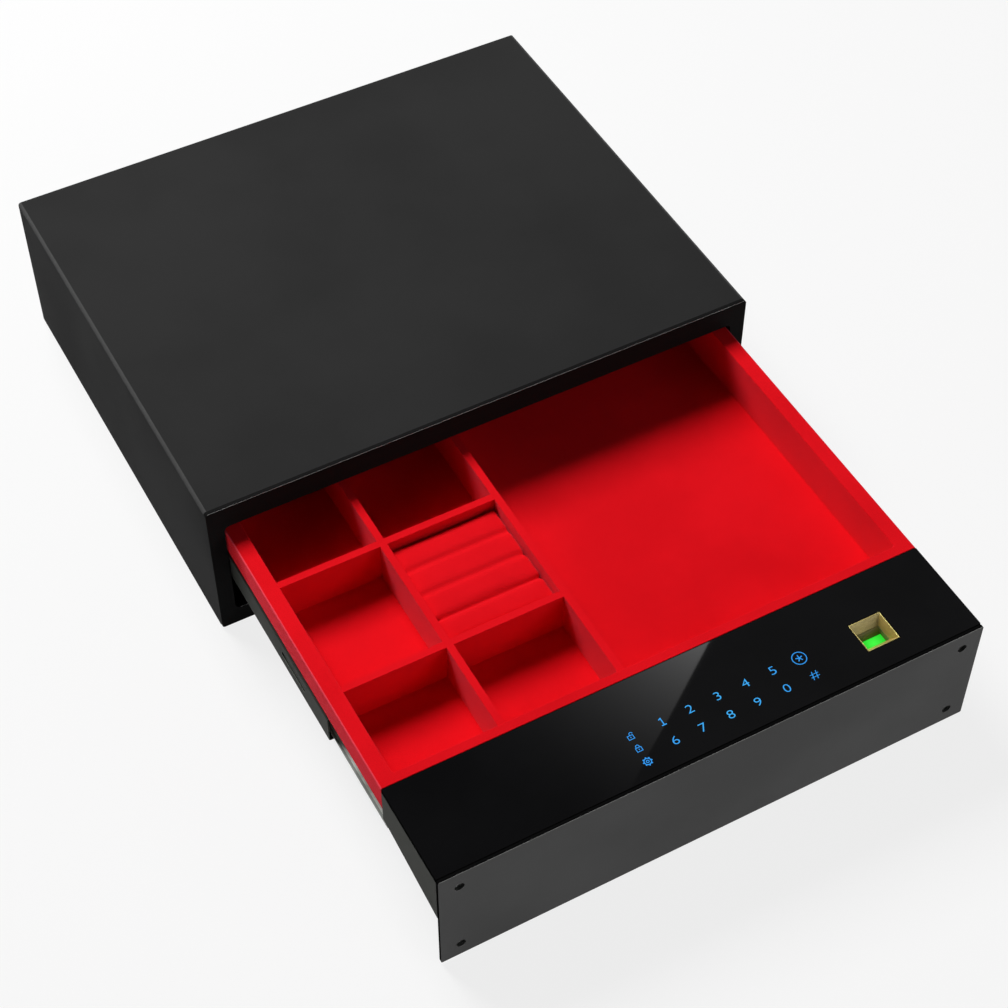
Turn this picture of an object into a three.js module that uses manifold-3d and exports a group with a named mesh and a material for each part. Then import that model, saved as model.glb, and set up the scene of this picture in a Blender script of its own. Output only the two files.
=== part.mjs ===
// A drawer safe that is fastened under a desk or inside a cabinet: a folded steel casing, a shallow lined
// drawer on telescopic ball slides, and a head in front of the drawer that carries a touch keypad, a
// fingerprint reader, the batteries and the boards. A motor under the drawer shoots two bolts sideways.
// Millimetres, +Z up, the drawer opens towards -Y. The origin is the centre of the casing's underside.
// The drawer stands open, with its bolts drawn in.
import * as THREE from "three";
import { mergeVertices } from "three/addons/utils/BufferGeometryUtils.js";
import Module from "manifold-3d";

// Fits shared by every piece
const seatGap = 0.3; // left between two pieces that seat on each other
const runningGap = 0.5; // round a piece that slides or swings
const cutOverrun = 4; // how far a cutting shape passes the surface that it cuts

// Casing
const casingWidth = 400;
const casingDepth = 330;
const casingHeight = 115;
const casingGauge = 2; // sheet thickness
const bendRadius = 2.2; // outside radius of a folded edge
const frameGauge = 3; // front frame, front to back
const sideBorder = 11; // frame left and right of its opening
const topBorder = 18;
const bottomBorder = 14;
const lipDepth = 5; // the opening's lip, behind the frame

// Drawer
const drawerDrop = 23; // from the casing's top to the drawer's top
const drawerHeight = 42;
const drawerRearRoom = 14; // between the shut drawer and the casing's back
const drawerClearance = 1; // between the drawer's rim and the frame's opening, each side
const drawerKept = 96; // length of the drawer that stays in the casing where it stands open
const drawerSpare = 75; // how much further it opens
const shutGap = 1; // left between head and casing when the drawer is shut
const rimHeight = 21; // lined rim over the slides
const panInset = 8; // from the rim's outer face to the pan's side
const panGauge = 1;

// Head
const cellCount = 4; // batteries, side by side from back to front
const cellRadius = 7;
const cellGap = 0.4; // between cells, and between the cells and the cover
const boxWall = 1.5; // of the battery box
const headRoom = 9.8; // of the head's depth, besides the battery box
const plateGauge = 2.5;
const plateFoot = 2; // the plate's lower edge above the casing's underside
const glassThickness = 3;
const shellGauge = 1.2; // the head's sheet thickness
const headRearHeight = 31; // from the head's top to its sloping underside at the back
const headFrontHeight = 42; // and at the front

// Telescopic slides
const slideTrim = 15; // how much shorter the outer member is than the drawer
const slideHeight = 30; // outer member
const slideGauge = 1;
const slideSetback = 9; // from the casing's front to the outer member
const ballRadius = 1;
const ballGap = 0.3; // between a ball and each race
const middleTravelShare = 0.7; // of the drawer's travel that the middle member makes

const casingHalf = casingWidth / 2;
const innerHalf = casingHalf - casingGauge;
const frontY = -casingDepth / 2;
const backY = casingDepth / 2;
const openingHalf = casingHalf - sideBorder;
const openingTop = casingHeight - topBorder;
const drawerLength = casingDepth - casingGauge - drawerRearRoom + shutGap; // behind the head
const drawerOpen = drawerLength - drawerKept; // from the casing's front to the head
const rimHalf = openingHalf - drawerClearance;
const panHalf = rimHalf - panInset;
const drawerTop = casingHeight - drawerDrop;
const drawerFoot = drawerTop - drawerHeight;
const rimUnder = drawerTop - rimHeight;
const cellPitch = 2 * cellRadius + cellGap;
const pocketWidth = cellCount * cellPitch + 2 * seatGap;
const headDepth = pocketWidth + 2 * boxWall + headRoom; // front plate included
const headBack = frontY - drawerOpen;
const plateBack = headBack - headDepth + plateGauge;
const plateFront = headBack - headDepth;
const panFront = headBack + seatGap;
const panBack = headBack + drawerLength;
const travel = drawerOpen - shutGap; // from shut to where the drawer stands
const slideLength = drawerLength - slideTrim; // outer member
const slideZ = rimUnder - seatGap - slideHeight / 2;

const red = new THREE.MeshStandardMaterial({ color: 0xc8101c, roughness: 0.95, metalness: 0 });
const black = new THREE.MeshStandardMaterial({ color: 0x1c1c1d, roughness: 0.55, metalness: 0.2 });
const zinc = new THREE.MeshStandardMaterial({ color: 0xb4b6b4, roughness: 0.3, metalness: 0.9 });
const blackSteel = new THREE.MeshStandardMaterial({ color: 0x161716, roughness: 0.4, metalness: 0.6 });
const darkGlass = new THREE.MeshStandardMaterial({ color: 0x08090a, roughness: 0.05, metalness: 0 });
const gold = new THREE.MeshStandardMaterial({ color: 0xc9a23e, roughness: 0.2, metalness: 1 });
const green = new THREE.MeshStandardMaterial({ color: 0x35e02c, roughness: 0.2, metalness: 0 });
const plastic = new THREE.MeshStandardMaterial({ color: 0x202124, roughness: 0.5, metalness: 0 });
const laminate = new THREE.MeshStandardMaterial({ color: 0x14502c, roughness: 0.5, metalness: 0 });
const cellJacket = new THREE.MeshStandardMaterial({ color: 0x3c5a78, roughness: 0.35, metalness: 0.3 });
const rubber = new THREE.MeshStandardMaterial({ color: 0x141414, roughness: 0.9, metalness: 0 });

const sides = [
  ["left", -1],
  ["right", 1],
];
const safe = new THREE.Group();
const wasm = await Module();
wasm.setup();

// A closed geometry as a manifold-3d solid.
function solidOf(geometry) {
  const bare = new THREE.BufferGeometry().setAttribute("position", geometry.getAttribute("position"));
  if (geometry.index) bare.setIndex(geometry.index);
  const merged = mergeVertices(bare);
  const mesh = new wasm.Mesh({
    numProp: 3,
    vertProperties: merged.attributes.position.array,
    triVerts: new Uint32Array(merged.index.array),
  });
  return new wasm.Manifold(mesh);
}

// A manifold-3d solid as a three.js geometry.
function geometryOf(solid) {
  const made = solid.getMesh();
  const position = new Float32Array(made.numVert * 3);
  for (let i = 0; i < made.numVert; i++) {
    position.set(made.vertProperties.subarray(i * made.numProp, i * made.numProp + 3), i * 3);
  }
  const geometry = new THREE.BufferGeometry();
  geometry.setAttribute("position", new THREE.BufferAttribute(position, 3));
  geometry.setIndex(new THREE.BufferAttribute(new Uint32Array(made.triVerts), 1));
  return geometry;
}

const join = (...pieces) => geometryOf(pieces.map(solidOf).reduce((a, b) => a.add(b)));
const cut = (base, ...tools) => geometryOf(tools.map(solidOf).reduce((a, b) => a.subtract(b), solidOf(base)));
const about = (centre, width) => [centre - width / 2, centre + width / 2];

function add(name, geometry, material) {
  const mesh = new THREE.Mesh(geometry, material);
  mesh.name = name;
  safe.add(mesh);
}

// A box over three spans, each with its ends in any order.
function block(...spans) {
  const sizes = spans.map(([a, b]) => Math.abs(b - a));
  const centres = spans.map(([a, b]) => (a + b) / 2);
  return new THREE.BoxGeometry(...sizes).translate(...centres);
}

const outlineOf = (points) => new THREE.Shape(points.map(([a, b]) => new THREE.Vector2(a, b)));

function rounded([a0, a1], [b0, b1], radius, Kind = THREE.Shape) {
  const outline = new Kind();
  outline.moveTo(a0 + radius, b0);
  outline.lineTo(a1 - radius, b0);
  outline.absarc(a1 - radius, b0 + radius, radius, -Math.PI / 2, 0);
  outline.absarc(a1 - radius, b1 - radius, radius, 0, Math.PI / 2);
  outline.absarc(a0 + radius, b1 - radius, radius, Math.PI / 2, Math.PI);
  outline.absarc(a0 + radius, b0 + radius, radius, Math.PI, 1.5 * Math.PI);
  outline.closePath();
  return outline;
}

function circle(a, b, radius) {
  return new THREE.Path().absarc(a, b, radius, 0, 2 * Math.PI);
}

// An outline extruded along x, y or z. It is drawn in the other two axes, in their order.
function along(axis, outline, [from, to], options = {}) {
  const depth = Math.abs(to - from);
  const start = Math.min(from, to);
  const settings = { depth, bevelEnabled: false, curveSegments: 4, ...options };
  const solid = new THREE.ExtrudeGeometry(outline, settings);
  if (axis === "x") return solid.rotateX(Math.PI / 2).rotateZ(Math.PI / 2).translate(start, 0, 0);
  if (axis === "y") return solid.rotateX(Math.PI / 2).translate(0, start + depth, 0);
  return solid.translate(0, 0, start);
}

// A round bar along one axis, placed by its two other coordinates.
function rod(axis, radius, [from, to], [a, b], facets = 12) {
  const bar = new THREE.CylinderGeometry(radius, radius, Math.abs(to - from), facets);
  const middle = (from + to) / 2;
  if (axis === "x") return bar.rotateZ(Math.PI / 2).translate(middle, a, b);
  if (axis === "y") return bar.translate(a, middle, b);
  return bar.rotateX(Math.PI / 2).translate(a, b, middle);
}

// A solid turned about an upright axis, from points of radius and height that start and end on the axis.
function turned(points, facets = 16) {
  const profile = points.map(([radius, height]) => new THREE.Vector2(radius, height));
  return new THREE.LatheGeometry(profile, facets).rotateX(Math.PI / 2);
}

// A sheet folded over three sides of the casing, from its foot up, across and down again.
function wrapOutline() {
  const innerBend = bendRadius - casingGauge;
  const bendX = casingHalf - bendRadius;
  const bendZ = casingHeight - bendRadius;
  const wrap = new THREE.Shape();
  wrap.moveTo(-casingHalf, 0);
  wrap.lineTo(-innerHalf, 0);
  wrap.absarc(-bendX, bendZ, innerBend, Math.PI, Math.PI / 2, true);
  wrap.absarc(bendX, bendZ, innerBend, Math.PI / 2, 0, true);
  wrap.lineTo(innerHalf, 0);
  wrap.lineTo(casingHalf, 0);
  wrap.absarc(bendX, bendZ, bendRadius, 0, Math.PI / 2);
  wrap.absarc(-bendX, bendZ, bendRadius, Math.PI / 2, Math.PI);
  wrap.closePath();
  return wrap;
}

// Casing: a wrap over the top and sides, a floor and a back with fixing holes, and a front frame
function buildCasing() {
  const floorFlange = 14;
  const fixingRadius = 3;
  const fixingInset = 45; // from the casing's sides and ends
  const wrapFront = frontY + frameGauge + seatGap;
  const floorHalf = innerHalf - seatGap;
  const flangeHalf = floorHalf - casingGauge;
  const backInner = backY - casingGauge;
  const fixingXs = [fixingInset - casingHalf, casingHalf - fixingInset];
  const fixingYs = [frontY + fixingInset, backY - fixingInset];
  const fixingZs = [casingHeight / 4, (3 * casingHeight) / 4];

  add("casing_shell", along("y", wrapOutline(), [wrapFront, backY]), black);

  const floorOutline = outlineOf([
    [-floorHalf, 0],
    [floorHalf, 0],
    [floorHalf, floorFlange],
    [flangeHalf, floorFlange],
    [flangeHalf, casingGauge],
    [-flangeHalf, casingGauge],
    [-flangeHalf, floorFlange],
    [-floorHalf, floorFlange],
  ]);
  const floor = along("y", floorOutline, [wrapFront, backInner - seatGap]);
  const floorBore = [-cutOverrun, casingGauge + cutOverrun];
  const floorHoles = fixingXs.flatMap((x) => fixingYs.map((y) => rod("z", fixingRadius, floorBore, [x, y])));
  add("casing_floor", cut(floor, ...floorHoles), black);

  const back = block([-floorHalf, floorHalf], [backInner, backY], [0, casingHeight - casingGauge - seatGap]);
  const backBore = [backInner - cutOverrun, backY + cutOverrun];
  const backHoles = fixingXs.flatMap((x) => fixingZs.map((z) => rod("y", fixingRadius, backBore, [x, z])));
  add("casing_back", cut(back, ...backHoles), black);

  buildFrontFrame();
  buildBumpers(backInner);
}

// Front frame: its outer and opening edges are rounded, and a lip stands behind its opening.
function buildFrontFrame() {
  const frameRound = 1;
  const openingCorner = 4;
  const lipGauge = 1.5;
  const faceHalf = casingHalf - frameRound;
  const cutHalf = openingHalf + frameRound;
  const faceCorner = bendRadius - frameRound;
  const face = rounded([-faceHalf, faceHalf], [frameRound, casingHeight - frameRound], faceCorner);
  const cutSpan = [bottomBorder - frameRound, openingTop + frameRound];
  face.holes.push(rounded([-cutHalf, cutHalf], cutSpan, openingCorner + frameRound, THREE.Path));
  const frame = along("y", face, [frontY + frameRound, frontY + frameGauge - frameRound], {
    bevelEnabled: true,
    bevelThickness: frameRound,
    bevelSize: frameRound,
    bevelSegments: 2,
  });
  const lipHalf = openingHalf + lipGauge;
  const lipSpan = [bottomBorder - lipGauge, openingTop + lipGauge];
  const lip = rounded([-lipHalf, lipHalf], lipSpan, openingCorner + lipGauge);
  lip.holes.push(rounded([-openingHalf, openingHalf], [bottomBorder, openingTop], openingCorner, THREE.Path));
  const lipRun = [frontY + frameGauge / 2, frontY + frameGauge + lipDepth];
  add("front_frame", join(frame, along("y", lip, lipRun)), black);
}

// Rubber buffers on the casing's back, which meet the pan when the drawer is shut.
function buildBumpers(backInner) {
  const bumperRadius = 6;
  const bumperInset = 60; // from the pan's side
  const bumperRun = [panBack + travel + seatGap, backInner - seatGap];
  const bumperZ = drawerFoot + (drawerHeight - rimHeight) / 2;
  sides.forEach(([side, s]) => {
    const bumper = rod("y", bumperRadius, bumperRun, [s * (panHalf - bumperInset), bumperZ]);
    add(`rear_bumper_${side}`, bumper, rubber);
  });
}

// Slide places, measured outwards from the middle of the safe
const spacerThickness = 4;
const outerFace = innerHalf - seatGap - spacerThickness - seatGap;
const outerReach = 9.9; // from the outer member's web to its lips' tips
const middleReach = 6.4;
const innerFace = panHalf + seatGap;
const innerReach = 5.2;
const raceHeight = 2 * (ballRadius + ballGap);
const middleHeight = slideHeight - 2 * (slideGauge + raceHeight);
const innerHeight = middleHeight - 2 * (slideGauge + raceHeight);
const outerStart = frontY + slideSetback;
const outerEnd = outerStart + slideLength;
const middleTrim = 10; // how much shorter the middle member is
const middleStart = outerStart - middleTravelShare * travel;
const middleEnd = middleStart + slideLength - middleTrim;
const innerStart = headBack + runningGap;
const innerEnd = outerEnd - travel;
const slideScrewRadius = 2;
const slideScrewHeadRadius = 2.8;
const slideScrewHeadHeight = 1.6;
const slideScrewInset = 30; // from a member's front end
const slideScrewRearInset = 60;
const slideScrewInsets = [slideScrewInset, slideLength - slideScrewRearInset];
const slideScrewHole = slideScrewRadius + seatGap;
const screwHeadGap = seatGap / 3;

// A channel with its web at x0 and its lips' tips at x1, on the side given by s.
function channel(s, x0, x1, height, run) {
  const webInner = x0 + Math.sign(x1 - x0) * slideGauge;
  const half = height / 2;
  const points = [
    [x0, -half],
    [x1, -half],
    [x1, -half + slideGauge],
    [webInner, -half + slideGauge],
    [webInner, half - slideGauge],
    [x1, half - slideGauge],
    [x1, half],
    [x0, half],
  ];
  const outline = outlineOf(points.map(([x, z]) => [s * x, slideZ + z]));
  return along("y", outline, run);
}

// A slot with round ends through a member's web, with its length along y.
function webSlot(s, face, y) {
  const slotLength = 34;
  const slotRadius = 2.4;
  const reach = slotLength / 2 - slotRadius;
  const slot = new THREE.Shape();
  slot.absarc(y + reach, slideZ, slotRadius, -Math.PI / 2, Math.PI / 2);
  slot.absarc(y - reach, slideZ, slotRadius, Math.PI / 2, 1.5 * Math.PI);
  slot.closePath();
  return along("x", slot, about(s * face, cutOverrun));
}

// A pan-head screw whose head seats at x0 and whose shank ends at x1.
function slideScrew(s, x0, x1, y) {
  const out = Math.sign(x0 - x1);
  const head = rod("x", slideScrewHeadRadius, [s * x0, s * (x0 + out * slideScrewHeadHeight)], [y, slideZ]);
  const shankRun = [s * (x0 + (out * slideScrewHeadHeight) / 2), s * x1];
  const shank = rod("x", slideScrewRadius, shankRun, [y, slideZ]);
  return join(head, shank);
}

// Members of one telescopic slide: a spacer and the outer member on the casing, the middle member, and the
// inner member on the pan.
function buildSlide(side, s) {
  const spacerHeightShare = 0.7; // of the outer member's height
  const spacerFace = outerFace + seatGap;
  const outerScrewYs = slideScrewInsets.map((inset) => outerStart + inset);
  const innerScrewYs = slideScrewInsets.map((inset) => innerStart + inset);
  const outerBore = [s * (outerFace - outerReach), s * innerHalf];
  const outerHoles = outerScrewYs.map((y) => rod("x", slideScrewHole, outerBore, [y, slideZ]));

  const spacerSpan = [s * spacerFace, s * (spacerFace + spacerThickness)];
  const spacer = block(spacerSpan, [outerStart, outerEnd], about(slideZ, slideHeight * spacerHeightShare));
  add(`slide_spacer_${side}`, cut(spacer, ...outerHoles), black);

  const outer = channel(s, outerFace, outerFace - outerReach, slideHeight, [outerStart, outerEnd]);
  add(`slide_outer_${side}`, cut(outer, ...outerHoles), blackSteel);

  const middle = channel(s, rimHalf, rimHalf - middleReach, middleHeight, [middleStart, middleEnd]);
  const middleSlots = slideScrewInsets.map((inset) => webSlot(s, rimHalf, middleEnd - inset));
  add(`slide_middle_${side}`, cut(middle, ...middleSlots), blackSteel);

  const innerBore = [s * (innerFace - cutOverrun), s * (innerFace + innerReach)];
  const innerHoles = innerScrewYs.map((y) => rod("x", slideScrewHole, innerBore, [y, slideZ]));
  const slotPitch = 42;
  const innerSlots = innerScrewYs.map((y) => webSlot(s, innerFace, y + slotPitch));
  const inner = channel(s, innerFace, innerFace + innerReach, innerHeight, [innerStart, innerEnd]);
  add(`slide_inner_${side}`, cut(inner, ...innerHoles, ...innerSlots), zinc);

  const outerSeat = outerFace - slideGauge - screwHeadGap;
  const innerSeat = innerFace + slideGauge + screwHeadGap;
  outerScrewYs.forEach((y, i) => {
    add(`slide_outer_screw_${side}_${i + 1}`, slideScrew(s, outerSeat, innerHalf - seatGap, y), zinc);
  });
  innerScrewYs.forEach((y, i) => {
    add(`slide_inner_screw_${side}_${i + 1}`, slideScrew(s, innerSeat, panHalf - panGauge, y), zinc);
  });
}

// A retainer: a strip with two folded arms that hold a row of balls above and a row below the inner of its
// two members. It runs from the strip's place inwards to the balls.
function retainer(s, stripX, ballX, ballZ, [start, end]) {
  const stripGauge = 0.6;
  const armGauge = 0.8;
  const ballEndInset = 6; // from the retainer's end to its last ball
  const ballsPerRow = 4;
  const stripSpan = [s * stripX, s * (stripX + stripGauge)];
  const strip = block(stripSpan, [start, end], about(slideZ, 2 * ballZ + armGauge));
  const rows = [slideZ - ballZ, slideZ + ballZ];
  const armSpan = [s * (ballX - ballRadius), s * (stripX + stripGauge)];
  const arms = rows.map((z) => block(armSpan, [start, end], about(z, armGauge)));
  const pitch = (end - start - 2 * ballEndInset) / (ballsPerRow - 1);
  const places = Array.from({ length: ballsPerRow }, (_, i) => start + ballEndInset + i * pitch);
  const ball = () => new THREE.SphereGeometry(ballRadius, 6, 4).rotateX(Math.PI / 2);
  const balls = rows.flatMap((z) => places.map((y) => ball().translate(s * ballX, y, z)));
  return join(strip, ...arms, ...balls);
}

// Both ball retainers of one slide. Each makes the mean of its two members' travel, and its length fits what
// these members still share when the drawer is wide open.
function buildRetainers(side, s) {
  const retainerMargin = 3;
  const outerBallX = rimHalf - middleReach / 2;
  const innerBallX = innerFace + slideGauge + (innerReach - slideGauge) / 2;
  const outerBallZ = middleHeight / 2 + raceHeight / 2;
  const innerBallZ = innerHeight / 2 + raceHeight / 2;
  const middleSpare = middleTravelShare * drawerSpare;
  const outerLag = middleSpare / 2;
  const innerLag = (drawerSpare + middleSpare) / 2;
  const outerRun = [
    outerStart + outerLag + retainerMargin,
    middleEnd - middleSpare + outerLag - retainerMargin,
  ];
  const innerRun = [
    middleStart - middleSpare + innerLag + retainerMargin,
    innerEnd - drawerSpare + innerLag - retainerMargin,
  ];
  const outerStripX = rimHalf + 2 * seatGap;
  const innerStripX = innerFace + innerReach + seatGap;
  add(`ball_retainer_outer_${side}`, retainer(s, outerStripX, outerBallX, outerBallZ, outerRun), zinc);
  add(`ball_retainer_inner_${side}`, retainer(s, innerStripX, innerBallX, innerBallZ, innerRun), zinc);
}

// Lock places
const boltWidth = 10; // along y
const boltHeight = 5;
const boltThrow = 15;
const boltPlay = 1; // between a shot bolt and the frame's lip
const gearModule = 1.5; // pitch diameter per tooth
const pinionTeeth = 12;
const pitchRadius = (gearModule * pinionTeeth) / 2;
const rackRoot = 1.6; // depth of a rack's tooth spaces below its pitch line
const rackTip = 1; // height of a rack's teeth over its pitch line
const rackBody = 3.8;
const rackBack = pitchRadius + rackRoot + rackBody; // from the pinion's axis to a rack's straight back
const boltY = frontY + frameGauge + lipDepth + boltPlay + boltWidth / 2 - travel;
const lockY = boltY + rackBack - rackBody / 2;
const cradleTop = drawerFoot - seatGap;
const cradleHeight = 16.5;
const cradleGauge = 1.5;
const cradleFloor = cradleTop - cradleHeight + cradleGauge;
const lockScrewRadius = 2;
const footLength = 9;
const legOuter = rackBack + runningGap + cradleGauge; // from the pinion's axis
const lockScrewOffset = legOuter + footLength / 2;

// Tray places
const trayWall = 1.7;
const trayFloor = 6.5; // board and lining
const trayEndWall = 7; // lined wall behind the head, and the same at the back
const bayHalf = panHalf - panGauge - seatGap - trayWall;
const bayFloor = drawerFoot + panGauge + seatGap + trayFloor;
const bayFront = headBack + trayEndWall;
const bayBack = panBack - trayEndWall;
const dividerWidth = 5;
const dividerDrop = 2; // how much lower than the rim the dividers stand
const mainDividerInset = 154.5; // from the bay's left side, beside the document bay
const columnDividerInset = 72.5;
const mainDividerX = mainDividerInset - bayHalf;
const columnDividerX = columnDividerInset - bayHalf;
const rowDividerInsets = [76, 166]; // from the head's back
const insertFloor = 1.5;

function buildPan() {
  const panTop = rimUnder - seatGap;
  const body = block([-panHalf, panHalf], [panFront, panBack], [drawerFoot, panTop]);
  const hollow = block(
    [panGauge - panHalf, panHalf - panGauge],
    [panFront + panGauge, panBack - panGauge],
    [drawerFoot + panGauge, panTop + cutOverrun],
  );
  const sideBores = sides.flatMap(([, s]) =>
    slideScrewInsets.map((inset) => {
      const bore = [s * (panHalf - panGauge - seatGap), s * (panHalf + cutOverrun)];
      return rod("x", slideScrewHole, bore, [innerStart + inset, slideZ]);
    }),
  );
  const footBores = sides.map(([, s]) => {
    const bore = [drawerFoot - cutOverrun, drawerFoot + panGauge + seatGap];
    return rod("z", lockScrewRadius + seatGap, bore, [0, lockY + s * lockScrewOffset]);
  });
  add("drawer_pan", cut(body, hollow, ...sideBores, ...footBores), black);
}

// The lined tray: a trough inside the pan, with a rim that covers the pan's edges and the slides.
function buildTray() {
  const troughHalf = bayHalf + trayWall;
  const troughRun = [panFront + panGauge + seatGap, panBack - panGauge - seatGap];
  const trough = block([-troughHalf, troughHalf], troughRun, [bayFloor - trayFloor, drawerTop]);
  const rim = block([-rimHalf, rimHalf], [panFront, panBack], [rimUnder, drawerTop]);
  const bay = block([-bayHalf, bayHalf], [bayFront, bayBack], [bayFloor, drawerTop + cutOverrun]);
  add("velvet_tray", cut(join(trough, rim), bay), red);
}

// The compartments: a floor and crossed dividers in one lined moulding.
function buildOrganizer() {
  const foot = bayFloor + seatGap;
  const dividerTop = drawerTop - dividerDrop;
  const left = seatGap - bayHalf;
  const right = mainDividerX + dividerWidth / 2;
  const run = [bayFront + seatGap, bayBack - seatGap];
  const height = [foot, dividerTop];
  const base = block([left, right], run, [foot, foot + insertFloor]);
  const main = block(about(mainDividerX, dividerWidth), run, height);
  const column = block(about(columnDividerX, dividerWidth), run, height);
  const rows = rowDividerInsets.map((inset) => {
    return block([left, right], about(headBack + inset, dividerWidth), height);
  });
  add("organizer_insert", join(base, main, column, ...rows), red);
}

// The cushion for rings: four rolls with slits between them, its sides drawn in at the foot.
function buildRingCushion() {
  const rollCount = 4;
  const slitWidth = 1;
  const slitDepth = 12;
  const cushionDrop = 6; // below the dividers' tops
  const crownHeight = 5;
  const endRound = 3;
  const sideDraw = 2; // how much narrower the cushion is at its foot
  const [frontInset, rearInset] = rowDividerInsets;
  const front = headBack + frontInset + dividerWidth / 2 + runningGap;
  const back = headBack + rearInset - dividerWidth / 2 - runningGap;
  const foot = bayFloor + seatGap + insertFloor + seatGap;
  const top = drawerTop - dividerDrop - cushionDrop;
  const shoulder = top - crownHeight;
  const rollPitch = (back - front) / rollCount;
  const outline = new THREE.Shape();
  outline.moveTo(front + sideDraw, foot);
  outline.quadraticCurveTo(front, (foot + shoulder) / 2, front, shoulder);
  for (let roll = 0; roll < rollCount; roll++) {
    const start = front + roll * rollPitch + (roll > 0 ? slitWidth / 2 : 0);
    const end = front + (roll + 1) * rollPitch - (roll < rollCount - 1 ? slitWidth / 2 : 0);
    if (roll > 0) outline.lineTo(start, top - slitDepth);
    outline.absellipse((start + end) / 2, shoulder, (end - start) / 2, crownHeight, Math.PI, 0, true);
    if (roll < rollCount - 1) outline.lineTo(end, top - slitDepth);
  }
  outline.quadraticCurveTo(back, (foot + shoulder) / 2, back - sideDraw, foot);
  outline.closePath();
  const left = columnDividerX + dividerWidth / 2 + runningGap;
  const right = mainDividerX - dividerWidth / 2 - runningGap;
  const cushion = along("x", outline, [left + endRound, right - endRound], {
    curveSegments: 6,
    bevelEnabled: true,
    bevelThickness: endRound,
    bevelSize: endRound,
    bevelOffset: -endRound,
    bevelSegments: 3,
  });
  add("ring_cushion", cushion, red);
}

// Head places
const shellFront = plateBack + seatGap;
const shellTop = drawerTop - glassThickness - seatGap;
const shellRearFoot = drawerTop - headRearHeight;
const shellFrontFoot = drawerTop - headFrontHeight;
const slopeAngle = Math.atan2(shellRearFoot - shellFrontFoot, headBack - shellFront);
const footAt = (y) => shellRearFoot - (headBack - y) * Math.tan(slopeAngle);
const plateHoleRadius = 3.25;
const plateHoleInset = 13.5; // from the plate's ends
const lowerHoleRise = 12; // above the plate's lower edge
const upperHoleDrop = 14; // below its upper edge
const plateHoleHeights = [plateFoot + lowerHoleRise, drawerTop - upperHoleDrop];
const nutRadius = 6; // over its corners
const nutLength = 5;
const nutSeat = plateBack + seatGap;

// Battery places, on the head's sloping underside: y runs back up the slope and z stands square to it
const cellLength = 49; // without its terminal
const terminalLength = 1;
const contactRoom = 2.5; // for the contacts at a cell's ends
const boxRear = -2.2; // rear wall's outer face
const boxInset = 18; // from the head's left side
const boxLeft = boxInset - rimHalf;
const pocketLength = cellLength + terminalLength + contactRoom;
const pocketX = [boxLeft + boxWall, boxLeft + boxWall + pocketLength];
const pocketY = [boxRear - boxWall - pocketWidth, boxRear - boxWall];
const hingeRadius = 1;
const slope = new THREE.Matrix4().makeRotationX(slopeAngle).setPosition(0, headBack, shellRearFoot);
const onSlope = (geometry) => geometry.applyMatrix4(slope);

// Fingerprint reader places
const readerSideInset = 61; // from the head's right side
const readerX = rimHalf - readerSideInset;
const readerInset = 29; // from the plate's front
const readerY = plateFront + readerInset;
const stemWidth = 23;
const stemDepth = 22;
const flangeWidth = 29;
const flangeDepth = 27;

// Boards
const boardGauge = 1.6;
const postRadius = 3;
const boardSideGap = 1; // from the reader's flange to the keypad board
const boxSideGap = 42.5; // from the battery box to the keypad board
const mainBoardInsets = [38.5, 8.5]; // from the keypad board's ends, clear of its posts
const boardRearInset = 12; // from the head's back to the keypad board
const boardFrontInset = 7.5; // from the front plate to the keypad board
const boardStep = 3; // how much further in the main board starts
const keypadBoardX = [pocketX[1] + boxWall + boxSideGap, readerX - flangeWidth / 2 - boardSideGap];
const keypadBoardY = [plateBack + boardFrontInset, headBack - boardRearInset];
const mainBoardX = [keypadBoardX[0] + mainBoardInsets[0], keypadBoardX[1] - mainBoardInsets[1]];
const mainBoardY = [keypadBoardY[0] + boardStep, keypadBoardY[1] - boardStep];
const keypadBoardTop = shellTop;
const mainBoardDrop = 16.7; // below the keypad board
const mainBoardTop = keypadBoardTop - mainBoardDrop;

// The motor's lead
const leadInset = 9; // from the head's back to the lead's hole
const leadY = headBack - leadInset;
const leadRadius = 1.5;
const leadHoleRadius = 3;

// Posts under a board's four corners, rooted in the head's floor.
function postsUnder(xs, ys, boardTop, inset) {
  const postTop = boardTop - boardGauge - seatGap;
  const postAt = (x, y) => rod("z", postRadius, [footAt(y) + shellGauge / 2, postTop], [x, y], 8);
  return [xs[0] + inset, xs[1] - inset].flatMap((x) => {
    return [ys[0] + inset, ys[1] - inset].map((y) => postAt(x, y));
  });
}

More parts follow.
